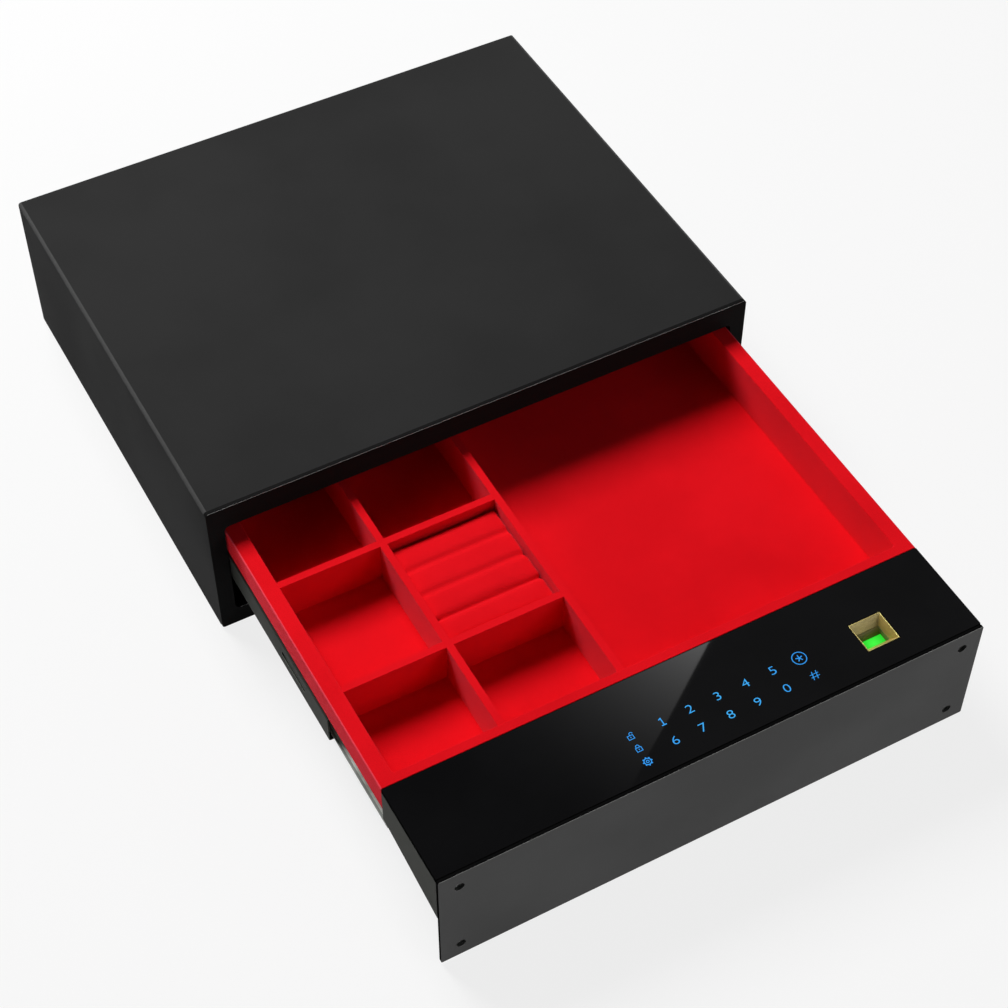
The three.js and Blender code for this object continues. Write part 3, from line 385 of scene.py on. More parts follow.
@dataclass(frozen=True)
class PlatedMetal(Finish):
    """Plated or bare metal with drawn lines in two tones, and a painted highlight on its rounded edges."""

    colour: Colour
    shade: Colour
    roughness: Span = (0.2, 0.36)
    lines: float = 900
    texture: float = 0.1
    metallic: float = 1
    depth: float = 0.00005
    patches: float = 26

    def feeds(self, patch: Patch, place: NodeSocket) -> Mapping[str, Value]:
        """Wires metal in two tones, its drawn lines and the painted highlight on its rounded edges.

        Args:
            patch: The material's patch.
            place: The place on the object.

        Returns:
            What the shader's sockets take, by their names.
        """
        lines = patch.effect(LINES, place, self.lines)["Lines"]
        handled = patch.effect(HANDLING, place, self.patches)["Patches"]
        tone = patch.spread(patch.times(lines, handled), (0.05, 0.5))
        metal = patch.blend(tone, self.colour, self.shade)
        return {
            # Painted highlight: the marked rounded edges take a paler tone of the metal
            "Base Color": patch.blend(patch.edge(), metal, toned(self.colour, 1.25, 0.02)),
            "Roughness": patch.spread(lines, (0.3, 0.7), self.roughness),
            "Metallic": self.metallic,
            "Normal": patch.bump(lines, self.texture, self.depth),
        }


@dataclass(frozen=True)
class Flock(Finish):
    """Short upright fibres glued over board, with a nap that lies differently in patches, and the sheen
    colour painted on marked edges as a highlight.
    """

    colour: Colour
    shade: Colour
    sheen: Colour
    fibre: float = 2600
    depth: float = 0.0003
    patches: float = 11

    def feeds(self, patch: Patch, place: NodeSocket) -> Mapping[str, Value]:
        """Wires fibres, nap and sheen, with a painted highlight line of the sheen colour on marked edges.

        Args:
            patch: The material's patch.
            place: The place on the object.

        Returns:
            What the shader's sockets take, by their names.
        """
        grain = patch.effect(GRAIN, place, self.fibre)
        nap = patch.effect(HANDLING, place, self.patches)["Patches"]
        mix = patch.plus(patch.times(nap, 0.3), patch.times(grain["Specks"], 0.5))
        pile = patch.blend(patch.spread(mix, (0, 0.95)), self.colour, self.shade)
        return {
            # Painted highlight: marked edges are blended towards the sheen colour
            "Base Color": patch.blend(patch.times(patch.edge(), 0.35), pile, self.sheen),
            "Roughness": patch.spread(grain["Height"], (0.3, 0.7), (0.85, 1)),
            "Specular IOR Level": 0.05,
            "Sheen Weight": 0.35,
            "Sheen Roughness": 0.4,
            "Sheen Tint": self.sheen,
            "Normal": patch.bump(grain["Height"], 0.5, self.depth),
        }


@dataclass(frozen=True)
class DarkGlass(Finish):
    """Back-painted black glass, with faint wiping marks in its gloss and a pale ground edge."""

    colour: Colour
    rim: Colour
    patches: float = 19

    def feeds(self, patch: Patch, place: NodeSocket) -> Mapping[str, Value]:
        """Wires a black ground, smeared gloss and ground edges.

        Args:
            patch: The material's patch.
            place: The place on the object.

        Returns:
            What the shader's sockets take, by their names.
        """
        handled = patch.effect(HANDLING, place, self.patches)["Patches"]
        ground = patch.blend(handled, self.colour, toned(self.colour, 0.8))
        smear = patch.plus(patch.times(handled, 0.05), patch.edge())
        return {
            "Base Color": patch.blend(patch.edge(), ground, self.rim),
            "Roughness": patch.spread(smear, (0, 1), (0.02, 0.4)),
            "IOR": 1.5,
        }


@dataclass(frozen=True)
class Moulded(Finish):
    """Moulded plastic or rubber with a fine spark-eroded grain and rubbed edges."""

    colour: Colour
    roughness: Span = (0.4, 0.55)
    grain: float = 2200
    texture: float = 0.2
    depth: float = 0.0001
    patches: float = 30
    chips: float = 600

    def feeds(self, patch: Patch, place: NodeSocket) -> Mapping[str, Value]:
        """Wires plastic with its grain and rubbed edges.

        Args:
            patch: The material's patch.
            place: The place on the object.

        Returns:
            What the shader's sockets take, by their names.
        """
        height = patch.effect(GRAIN, place, self.grain)["Height"]
        handled = patch.effect(HANDLING, place, self.patches)["Patches"]
        bare = patch.effect(HIGHLIGHT_AND_WEAR, place, self.chips, Rubbed=0.4)["Bare"]
        tone = patch.blend(handled, self.colour, toned(self.colour, 1.25))
        return {
            "Base Color": patch.blend(bare, tone, toned(self.colour, 2.2)),
            "Roughness": patch.spread(height, (0.35, 0.65), self.roughness),
            "Normal": patch.bump(height, self.texture, self.depth),
        }


@dataclass(frozen=True)
class Lit(Finish):
    """A lit surface, brightest at its middle and slightly uneven."""

    core: Colour
    rim: Colour
    centre: tuple[float, float, float]
    reach: float

    def feeds(self, patch: Patch, place: NodeSocket) -> Mapping[str, Value]:
        """Wires light that falls off from the middle.

        Args:
            patch: The material's patch.
            place: The place on the object.

        Returns:
            What the shader's sockets take, by their names.
        """
        reach = self.reach * MM
        uneven = patch.times(patch.effect(GRAIN, place, 900)["Height"], 0.2 * reach)
        away = patch.plus(patch.away(place, [value * MM for value in self.centre]), uneven)
        return {
            "Base Color": (0.01, 0.01, 0.01),
            "Emission Color": patch.blend(patch.spread(away, (0, reach)), self.core, self.rim),
            "Emission Strength": 1,
            "Roughness": 0.5,
            "Specular IOR Level": 0.1,
        }


@dataclass(frozen=True)
class Laminate(Finish):
    """A circuit board: green mask over copper tracks, which run as the edges of square cells."""

    colour: Colour
    track: Colour

    def feeds(self, patch: Patch, place: NodeSocket) -> Mapping[str, Value]:
        """Wires tracks as the edges of square cells.

        Args:
            patch: The material's patch.
            place: The place on the object.

        Returns:
            What the shader's sockets take, by their names.
        """
        feeds = {"Vector": place, "Scale": 210, "Randomness": 0.35}
        cells = patch.add("TexVoronoi", feeds, feature="DISTANCE_TO_EDGE", distance="EUCLIDEAN")
        lines = patch.spread(cells.outputs["Distance"], (0.05, 0.12), (1, 0))
        height = patch.effect(GRAIN, place, 700)["Height"]
        return {
            "Base Color": patch.blend(lines, self.colour, self.track),
            "Roughness": patch.spread(height, (0.3, 0.7), (0.3, 0.45)),
            "Normal": patch.bump(lines, 0.3, 0.00005),
        }


@dataclass(frozen=True)
class CellJacket(Finish):
    """The jacket of a battery: a dark sleeve, a plain paler band and bare steel ends."""

    sleeve: Colour
    band: Colour
    steel: Colour
    middle: float
    band_start: Span = (10.5, 11)
    end_start: Span = (24.2, 24.4)

    def feeds(self, patch: Patch, place: NodeSocket) -> Mapping[str, Value]:
        """Wires bands by the distance from the cell's middle along x.

        Args:
            patch: The material's patch.
            place: The place on the object.

        Returns:
            What the shader's sockets take, by their names.
        """
        along_x = patch.add("SeparateXYZ", {"Vector": place}).outputs["X"]
        away = patch.math("SUBTRACT", along_x, self.middle * MM)
        band_start, end_start = ([value * MM for value in run] for run in (self.band_start, self.end_start))
        jacket = patch.blend(patch.spread(away, band_start), self.sleeve, self.band)
        end = patch.spread(patch.math("ABSOLUTE", away), end_start)
        height = patch.effect(GRAIN, place, 800)["Height"]
        return {
            "Base Color": patch.blend(end, jacket, self.steel),
            "Metallic": end,
            "Roughness": patch.spread(height, (0.3, 0.7), (0.25, 0.38)),
        }


# Each paint's second colour is painted on its marked rounded edges as a highlight
CASING_PAINT = PaintedSteel("casing_paint", COAT, tint(46), tint(72), (0.7, 0.8), shine=0.02)
# The frame shares the casing's powder coat with a darker base colour, and a very pale rim colour painted on
# its edges as a highlight
FRAME_PAINT = PaintedSteel("frame_enamel", COAT, tint(26), tint(190), (0.5, 0.6), texture=0.06, shine=0.01)
HEAD_PAINT = PaintedSteel("head_paint", COAT, tint(90, 91, 88), tint(98, 98, 96), (0.7, 0.8), shine=0.01)
PLATE_PAINT = PaintedSteel("plate_paint", COAT, tint(62), tint(156, 156, 154), (0.42, 0.5), shine=0.15)
# A near-black copy of the plate's paint, painted as shade on its rim and back
PLATE_RIM_SHADE = PaintedSteel("plate_rim_paint", COAT, tint(14), tint(24), (0.6, 0.7), texture=0.04, shine=0)
SLIDE_BLACK = PaintedSteel(
    "black_slide_steel", "black_slide_steel", tint(62, 64, 60), tint(112, 117, 109), (0.45, 0.6),
    texture=0.05, shine=0.02,
)
ZINC = PlatedMetal(
    "bright_zinc", "bright_zinc", tint(240, 242, 238), tint(172, 176, 170), (0.25, 0.4), metallic=0.4
)
# Darker zinc painted as shade on the outer part of the inner members' lips
SHADED_LIP = PlatedMetal(
    "oiled_zinc_lip", "bright_zinc", tint(160, 163, 158), tint(128, 131, 126), (0.35, 0.5), metallic=0.3
)
MOTOR_STEEL = PlatedMetal("motor_can", "bright_zinc", tint(150, 150, 148), tint(104, 104, 103), (0.3, 0.45))
GOLD = PlatedMetal(
    "gold_plating", "gold_plating", tint(250, 222, 140), tint(212, 184, 108), (0.3, 0.4), 1500, 0.02, 0.7
)
# A darker copy of the gold, painted as shade on the funnel's inner back wall
SHADED_GOLD = PlatedMetal(
    "dull_gold_plating", "gold_plating", tint(170, 156, 106), tint(138, 126, 84), (0.4, 0.5), 1500, 0.02, 0.6
)
RED_FLOCK = Flock("red_flock", "red_flock", tint(238, 16, 28), tint(200, 5, 15), tint(255, 110, 132))
BLACK_GLASS = DarkGlass("black_glass", "black_glass", tint(18, 18, 19), tint(30))
GROUND_EDGE = PaintedSteel(
    "ground_glass_edge", "black_glass", tint(13), tint(20), (0.6, 0.7), texture=0.04, shine=0
)
PLASTIC = Moulded("black_plastic", "black_plastic", tint(34, 34, 36))
WELL = Moulded("reader_well", "black_plastic", tint(112, 106, 62), (0.45, 0.6))
RUBBER = Moulded("soft_rubber", "black_rubber", tint(24), (0.7, 0.85), 1500, 0.3)
SENSOR = Lit("lit_sensor", "lit_sensor", tint(66, 252, 66), tint(30, 206, 34), (127, -427.6, 82.1), 10)
KEY_LIGHT = Lit("key_light", "lit_sensor", tint(60, 180, 252), tint(42, 152, 242), (18, -429, 92), 80)
BOARD = Laminate("board_laminate", "board_laminate", tint(18, 74, 42), tint(54, 116, 62))
CELL = CellJacket(
    "cell_jacket", "cell_jacket", tint(38, 52, 78), tint(186, 150, 84), tint(190, 192, 190), -142.25
)


# Shaping tools on bmesh, in millimetres


def around(middle: float, half: float) -> Span:
    """The ends of a span that reaches as far to either side of its middle."""
    return middle - half, middle + half


def block(x: Span, y: Span, z: Span) -> BMesh:
    """Makes a block.

    Args:
        x: Its ends along x.
        y: Its ends along y.
        z: Its ends along z.

    Returns:
        The block's mesh.
    """
    bm = bmesh.new()
    bmesh.ops.create_cube(bm, size=1)
    bmesh.ops.scale(bm, vec=(abs(x[1] - x[0]), abs(y[1] - y[0]), abs(z[1] - z[0])), verts=bm.verts)
    bmesh.ops.translate(bm, vec=(sum(x) / 2, sum(y) / 2, sum(z) / 2), verts=bm.verts)
    return bm


def rod(axis: str, radii: Span, run: Span, place: Spot, facets: int = 32) -> BMesh:
    """Makes a round bar or a cone along an axis.

    Args:
        axis: x or y.
        radii: Its radius at the lower and the upper end of its run.
        run: Its ends along the axis.
        place: Its two other coordinates, in their order.
        facets: How many sides it has.

    Returns:
        The bar's mesh.
    """
    bm = bmesh.new()
    bmesh.ops.create_cone(
        bm, cap_ends=True, segments=facets, radius1=radii[0], radius2=radii[1], depth=run[1] - run[0]
    )
    middle = sum(run) / 2
    turns = {
        "x": (Matrix.Rotation(QUARTER, 3, "Y"), (middle, *place)),
        "y": (Matrix.Rotation(-QUARTER, 3, "X"), (place[0], middle, place[1])),
    }
    turn, spot = turns[axis]
    bmesh.ops.rotate(bm, cent=(0, 0, 0), matrix=turn, verts=bm.verts)
    bmesh.ops.translate(bm, vec=spot, verts=bm.verts)
    return bm


def spun(profile: Sequence[Spot], facets: int) -> BMesh:
    """Turns a profile about the z axis.

    Args:
        profile: Its points, each a radius and a height, from axis to axis.
        facets: How many sides the shape has.

    Returns:
        The shape's mesh.
    """
    bm = bmesh.new()
    verts = [bm.verts.new((radius, 0, height)) for radius, height in profile]
    edges = [bm.edges.new(pair) for pair in zip(verts, verts[1:])]
    bmesh.ops.spin(
        bm, geom=[*verts, *edges], axis=(0, 0, 1), cent=(0, 0, 0), angle=math.tau, steps=facets,
        use_merge=True,
    )
    bmesh.ops.remove_doubles(bm, verts=bm.verts, dist=0.001)
    bmesh.ops.recalc_face_normals(bm, faces=bm.faces)
    return bm


def anywhere(at: Vector) -> bool:
    """A test that every place passes."""
    return True


def near_middle(bm: BMesh, where: Test) -> list[BMEdge]:
    """The edges of a mesh whose middle passes a test."""
    return [edge for edge in bm.edges if where((edge.verts[0].co + edge.verts[1].co) / 2)]


def along(bm: BMesh, axis: int, where: Test = anywhere) -> list[BMEdge]:
    """The edges that run along an axis, 0 to 2, and whose middle passes a test."""
    runs = ((edge, edge.verts[1].co - edge.verts[0].co) for edge in near_middle(bm, where))
    return [edge for edge, run in runs if abs(run.normalized()[axis]) > 0.999]


def corners(bm: BMesh, where: Test = anywhere, degrees: float = 60) -> list[BMEdge]:
    """Finds the sharp edges of a mesh.

    Args:
        bm: The mesh.
        where: A test of an edge's middle.
        degrees: The angle that its faces have to turn by.

    Returns:
        The edges.
    """
    limit = math.radians(degrees)
    found = near_middle(bm, where)
    return [edge for edge in found if len(edge.link_faces) == 2 and edge.calc_face_angle(0) > limit]


def soften(bm: BMesh, edges: Sequence[BMEdge], width: float, segments: int = 2, mark: bool = True) -> None:
    """Rounds edges.

    Args:
        bm: The mesh.
        edges: The edges.
        width: How far the rounding reaches.
        segments: How many steps it has.
        mark: Whether the new faces carry the mark that finishes read, which most of them paint with a
            highlight.
    """
    made = bmesh.ops.bevel(
        bm, geom=edges, offset=width, offset_type="OFFSET", segments=segments, profile=0.5, affect="EDGES",
        clamp_overlap=True, material=-1,
    )
    if mark:
        layers = bm.loops.layers.float
        layer = layers.get(EDGE_MARK) or layers.new(EDGE_MARK)
        for loop in (loop for face in made["faces"] for loop in face.loops):
            loop[layer] = 1


def looking(bm: BMesh, sign: int) -> BMFace:
    """The first face that looks up, for a sign of 1, or down, for -1."""
    return next(face for face in bm.faces if sign * face.normal.z > 0.5)


def drop(bm: BMesh, test: Callable[[BMFace], bool]) -> None:
    """Takes off the faces that pass a test."""
    bmesh.ops.delete(bm, geom=[face for face in bm.faces if test(face)], context="FACES")


def thicken(bm: BMesh, gauge: float) -> None:
    """Gives an open sheet its gauge."""
    bmesh.ops.solidify(bm, geom=bm.faces[:], thickness=gauge)
    bmesh.ops.recalc_face_normals(bm, faces=bm.faces)


def flatten(bm: BMesh, degrees: float = 0.5) -> None:
    """Joins the faces that lie in one plane.

    Args:
        bm: The mesh.
        degrees: How far they may turn.
    """
    limit = math.radians(degrees)
    bmesh.ops.dissolve_limit(
        bm, angle_limit=limit, verts=bm.verts, edges=bm.edges, use_dissolve_boundaries=False
    )


def split(bm: BMesh, axis: int, place: float) -> None:
    """Splits the faces of a mesh by a plane.

    Args:
        bm: The mesh.
        axis: The axis that the plane lies across, 0 to 2.
        place: The plane's place on it.
    """
    normal = Vector([int(axis == index) for index in range(3)])
    everything = [*bm.verts, *bm.edges, *bm.faces]
    bmesh.ops.bisect_plane(bm, geom=everything, dist=0.0001, plane_co=normal * place, plane_no=normal)


def give_second(bm: BMesh, test: Callable[[BMFace], bool]) -> None:
    """Gives a piece's second finish to some of its faces.

    Args:
        bm: The piece's mesh.
        test: A test that those faces pass.
    """
    bm.normal_update()
    for face in filter(test, bm.faces):
        face.material_index = 1


def sunk(bm: BMesh, face: BMFace, x: Span, y: Span, z: float) -> BMFace:
    """Insets a level face to a rectangle and sinks or raises it.

    Args:
        bm: The mesh.
        face: The level face.
        x: The rectangle's ends along x.
        y: The rectangle's ends along y.
        z: The height that the face moves to.

    Returns:
        The moved face.
    """
    bmesh.ops.inset_region(bm, faces=[face], thickness=1, use_even_offset=True)
    middle = face.calc_center_median()
    for vert in face.verts:
        vert.co.x = max(x) if vert.co.x > middle.x else min(x)
        vert.co.y = max(y) if vert.co.y > middle.y else min(y)
    floor = bmesh.ops.extrude_discrete_faces(bm, faces=[face])["faces"][0]
    for vert in floor.verts:
        vert.co.z = z
    return floor


def shown(name: str, data: ID) -> Object:
    """Makes an object and puts it into the scene.

    Args:
        name: The object's name.
        data: What it shows.

    Returns:
        The object.
    """
    made = bpy.data.objects.new(name, data)
    bpy.context.scene.collection.objects.link(made)
    return made


def mesh_of(name: str, bm: BMesh) -> Mesh:
    """Makes a mesh.

    Args:
        name: The mesh's name.
        bm: What it holds. It is used up.

    Returns:
        The mesh.
    """
    mesh = bpy.data.meshes.new(name)
    bm.to_mesh(mesh)
    bm.free()
    return mesh


def as_seen(made: Object) -> Mesh:
    """The mesh that an object's text or modifiers give."""
    return bpy.data.meshes.new_from_object(made.evaluated_get(bpy.context.evaluated_depsgraph_get()))


def opened(mesh: Mesh) -> BMesh:
    """Opens a mesh for shaping.

    Args:
        mesh: The mesh. It is removed.

    Returns:
        What it held.
    """
    bm = bmesh.new()
    bm.from_mesh(mesh)
    bpy.data.meshes.remove(mesh)
    return bm


def combined(base: BMesh, other: BMesh, join: Join) -> BMesh:
    """Joins or cuts two closed meshes.

    Args:
        base: The mesh that is kept. It is used up.
        other: The mesh that joins or cuts it. It is used up.
        join: Whether it is added or cut away.

    Returns:
        The result.
    """
    parts = [shown(name, mesh_of(name, bm)) for name, bm in (("kept", base), ("tool", other))]
    modifier = parts[0].modifiers.new("join", "BOOLEAN")
    modifier.object = parts[1]
    modifier.operation = join.value
    modifier.solver = "EXACT"
    result = opened(as_seen(parts[0]))
    for mesh in [part.data for part in parts]:
        bpy.data.meshes.remove(mesh)
    bmesh.ops.remove_doubles(result, verts=result.verts, dist=0.001)
    flatten(result)
    return result


def piece(
    name: str, bm: BMesh, finish: Finish, body: Body, replaces: Sequence[str] = (), smooth: float = 35,
    second: Finish | None = None,
) -> Object:
    """Makes a finished piece from a mesh in millimetres.

    Args:
        name: The piece's name.
        bm: The mesh. It is used up.
        finish: Its finish.
        body: The body that it rides on.
        replaces: The solids that it stands for.
        smooth: The angle in degrees under which its faces are shaded as one.
        second: The finish of the faces that give_second chose.

    Returns:
        The piece.
    """
    bmesh.ops.scale(bm, vec=(MM, MM, MM), verts=bm.verts)
    mesh = mesh_of(name, bm)
    mesh.shade_smooth()
    mesh.set_sharp_from_angle(angle=math.radians(smooth))
    for chosen in filter(None, (finish, second)):
        mesh.materials.append(chosen.material())
    made = shown(name, mesh)
    made.modifiers.new("flat_faces_stay_flat", "WEIGHTED_NORMAL").keep_sharp = True
    if replaces:
        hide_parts(*replaces)
    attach(made, body.value)
    LOG.info("%s: %d faces on %s", name, len(mesh.polygons), body.value)
    return made


def eased(node: str, finish: Finish, body: Body, width: float = 0.25, degrees: float = 50) -> None:
    """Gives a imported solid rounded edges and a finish, as a piece that stands for it.

    Args:
        node: The solid's name.
        finish: Its finish.
        body: The body that it rides on.
        width: How far the edges are rounded.
        degrees: The smallest angle of an edge that is rounded.
    """
    bm = bmesh.new()
    bm.from_mesh(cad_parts[node].data)
    bmesh.ops.scale(bm, vec=(1 / MM, 1 / MM, 1 / MM), verts=bm.verts)
    bmesh.ops.remove_doubles(bm, verts=bm.verts, dist=0.002)
    flatten(bm)
    soften(bm, corners(bm, degrees=degrees), width)
    piece(f"{node}_eased", bm, finish, body, [node])


def dress(node: str, finish: Finish) -> None:
    """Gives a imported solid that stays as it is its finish.

    Args:
        node: The solid's name.
        finish: Its finish.
    """
    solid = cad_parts[node]
    solid.data.materials.clear()
    solid.data.materials.append(finish.material())
    LOG.info("%s: dressed", node)


def corners_of(node: str) -> tuple[Vector, Vector]:
    """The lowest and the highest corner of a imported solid."""
    low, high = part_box(node)
    return low / MM, high / MM


@dataclass
class Fastener:
    """A pan-head screw with a cross recess, turned about the z axis with its head's seat at the origin."""

    shank: float
    head: float
    rise: float
    length: float
    facets: int = 28

    def mesh(self) -> BMesh:
        """Turns the screw and sinks its recess.

        Returns:
            The screw's mesh, its head upwards.
        """
        profile = [
            (0, -self.length), (0.8 * self.shank, -self.length),
            (self.shank, -self.length + 0.2 * self.shank), (self.shank, 0),
            (self.head, 0), (self.head, 0.55 * self.rise), (0.86 * self.head, 0.86 * self.rise),
            (0.6 * self.head, self.rise), (0, self.rise),
        ]
        bm = spun(profile, self.facets)
        arm, thin, depth = 0.62 * self.head, 0.13 * self.head, 0.7 * self.rise
        for half_x, half_y in ((arm, thin), (thin, arm)):
            tool = block(around(0, half_x), around(0, half_y), (self.rise - depth, self.rise + 1))
            for vert in (vert for vert in tool.verts if vert.co.z < self.rise):
                vert.co.x *= 0.7
                vert.co.y *= 0.7
            bm = combined(bm, tool, Join.CUT)
        return bm

    def place(self, node: str, turn: Matrix, seat: Vector, body: Body) -> None:
        """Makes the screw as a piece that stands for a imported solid.

        Args:
            node: The solid's name.
            turn: Rotation from the screw's frame to the safe's.
            seat: The head's seat in the safe's frame.
            body: The body that it rides on.
        """
        bm = self.mesh()
        bmesh.ops.transform(bm, matrix=Matrix.Translation(seat) @ turn.to_4x4(), verts=bm.verts)
        piece(f"{node}_cross_head", bm, ZINC, body, [node], 40)


# Sub-assemblies


@dataclass
class Casing:
    """Folded sheet over the top and sides, a floor, a back and a front frame with a lipped opening."""

    half: float = 200
    front: float = -165
    back: float = 165
    height: float = 115
    gauge: float = 2
    bend: float = 2.2
    seam: float = 0.05
    frame_gauge: float = 3
    opening_half: float = 189
    opening: Span = (14, 97)
    opening_corner: float = 4
    lip: float = 1.5
    lip_back: float = -157

    def build(self) -> None:
        """Builds and dresses the casing."""
        self.wrap()
        self.front_frame()
        for node in ("casing_floor", "casing_back"):
            eased(node, CASING_PAINT, Body.CASING, 0.3)
        for side in Side:
            eased(f"rear_bumper_{side.word}", RUBBER, Body.CASING, 0.8)

    def wrap(self) -> None:
        """Folds the sheet over the top and sides."""
        start = self.front + self.frame_gauge + self.seam
        bm = block(around(0, self.half), (start, self.back), (0, self.height))
        drop(bm, lambda face: abs(face.normal.y) > 0.5 or face.normal.z < -0.5)
        soften(bm, along(bm, 1, lambda at: at.z > self.height - 1), self.bend, 8)
        thicken(bm, self.gauge)
        soften(bm, corners(bm, lambda at: abs(at.y - self.back) < NEAR or at.z < NEAR), 0.35)
        piece("casing_wrap", bm, CASING_PAINT, Body.CASING, ["casing_shell"])

    def front_frame(self) -> None:
        """Makes the frame round the drawer's opening, with rounded edges and a lip behind it."""
        bm = block(around(0, self.half), (self.front, self.front + self.frame_gauge), (0, self.height))
        soften(bm, along(bm, 1), self.bend, 8, mark=False)
        foot, top = self.opening
        lip_run, hole_run = (self.front + 1.5, self.lip_back), (self.front - 5, self.lip_back + 5)
        for wider, run, join in ((self.lip, lip_run, Join.ADD), (0, hole_run, Join.CUT)):
            ring = block(around(0, self.opening_half + wider), run, (foot - wider, top + wider))
            soften(ring, along(ring, 1), self.opening_corner + wider, 8, mark=False)
            bm = combined(bm, ring, join)
        face = self.front + NEAR
        # Painted highlights: the marked top front edge and the front edges below the opening take the paint's
        # pale rim colour
        soften(bm, corners(bm, lambda at: at.y < face and at.z > self.height - 0.1), 1, 3)
        soften(bm, corners(bm, lambda at: at.y < face and 5 < at.z < foot + 0.1), 0.6, 3)
        soften(bm, corners(bm, lambda at: at.y < face), 0.4, mark=False)
        piece("front_frame_rolled", bm, FRAME_PAINT, Body.CASING, ["front_frame"])


@dataclass
class Slides:
    """Two telescopic ball slides: outer, middle and inner members with rolled corners."""

    level: float = 55.7
    roll: float = 1.6
    gauge: float = 1
    # Width of the lips' outer part that takes painted shade
    oiled: float = 1.6
    insets: Span = (30, 240)
    slot_inset: float = 42
    slot_length: float = 34
    slot_radius: float = 2.4
    hole_radius: float = 2.3

    def build(self) -> None:
        """Builds and dresses both slides."""
        for side in Side:
            self.member("outer", side, SLIDE_BLACK, Body.CASING)
            self.member("middle", side, SLIDE_BLACK, Body[f"MIDDLE_{side.name}"])
            self.member("inner", side, ZINC, Body.DRAWER)
            eased(f"slide_spacer_{side.word}", CASING_PAINT, Body.CASING, 0.3)
            for ring in ("outer", "inner"):
                dress(f"ball_retainer_{ring}_{side.word}", ZINC)
            self.screws(side)

    def member(self, kind: str, side: Side, finish: Finish, body: Body) -> None:
        """Rolls one member from strip, with its slots or screw holes.

        Args:
            kind: Outer, middle or inner. An inner member's web faces the drawer, the others' faces away.
            side: Its side.
            finish: Its finish.
            body: The body that it rides on.
        """
        node = f"slide_{kind}_{side.word}"
        inner = kind == "inner"
        low, high = corners_of(node)
        web = low.x if (side is Side.RIGHT) is inner else high.x
        lips = low.x + high.x - web
        bm = block(*zip(low, high))
        drop(bm, lambda face: abs(face.normal.y) > 0.5 or abs(face.calc_center_median().x - lips) < NEAR)
        soften(bm, along(bm, 1, lambda at: abs(at.x - web) < NEAR), self.roll, 5, mark=False)
        thicken(bm, self.gauge)
        for spot, slotted in self.openings(kind, low.y, high.y):
            through = around(web, 3)
            if slotted:
                run, rise = around(spot, self.slot_length / 2), around(self.level, self.slot_radius)
                tool = block(through, run, rise)
                soften(tool, along(tool, 0), self.slot_radius * 0.98, 8, mark=False)
            else:
                tool = rod("x", (self.hole_radius, self.hole_radius), through, (spot, self.level))
            bm = combined(bm, tool, Join.CUT)
        soften(bm, corners(bm), 0.18)
        # Painted shade: on an inner member the lips' outer part takes the darker zinc
        if inner:
            reach = lips - math.copysign(self.oiled, lips)
            split(bm, 0, reach)
            give_second(bm, lambda face: abs(face.calc_center_median().x) > abs(reach))
        piece(f"{node}_rolled", bm, finish, body, [node], second=SHADED_LIP if inner else None)

    def openings(self, kind: str, front: float, back: float) -> list[tuple[float, bool]]:
        """Places along y of a member's openings.

        Args:
            kind: Outer, middle or inner.
            front: The member's front end.
            back: Its back end.

        Returns:
            A place and whether it is a slot, for each opening.
        """
        if kind == "middle":
            return [(back - inset, True) for inset in self.insets]
        holes = [(front + inset, False) for inset in self.insets]
        slots = [(front + inset + self.slot_inset, True) for inset in self.insets]
        return holes + slots if kind == "inner" else holes

    def screws(self, side: Side) -> None:
        """Puts in the screws of one slide.

        Args:
            side: The slide's side.
        """
        screw = Fastener(shank=1.9, head=2.8, rise=1.6, length=1.2)
        for kind, body, facing in (("outer", Body.CASING, -side.value), ("inner", Body.DRAWER, side.value)):
            for number in (1, 2):
                node = f"slide_{kind}_screw_{side.word}_{number}"
                low, high = corners_of(node)
                head_x = (low.x if facing < 0 else high.x) - facing * screw.rise
                seat = Vector((head_x, (low.y + high.y) / 2, self.level))
                screw.place(node, Matrix.Rotation(facing * QUARTER, 3, "Y"), seat, body)


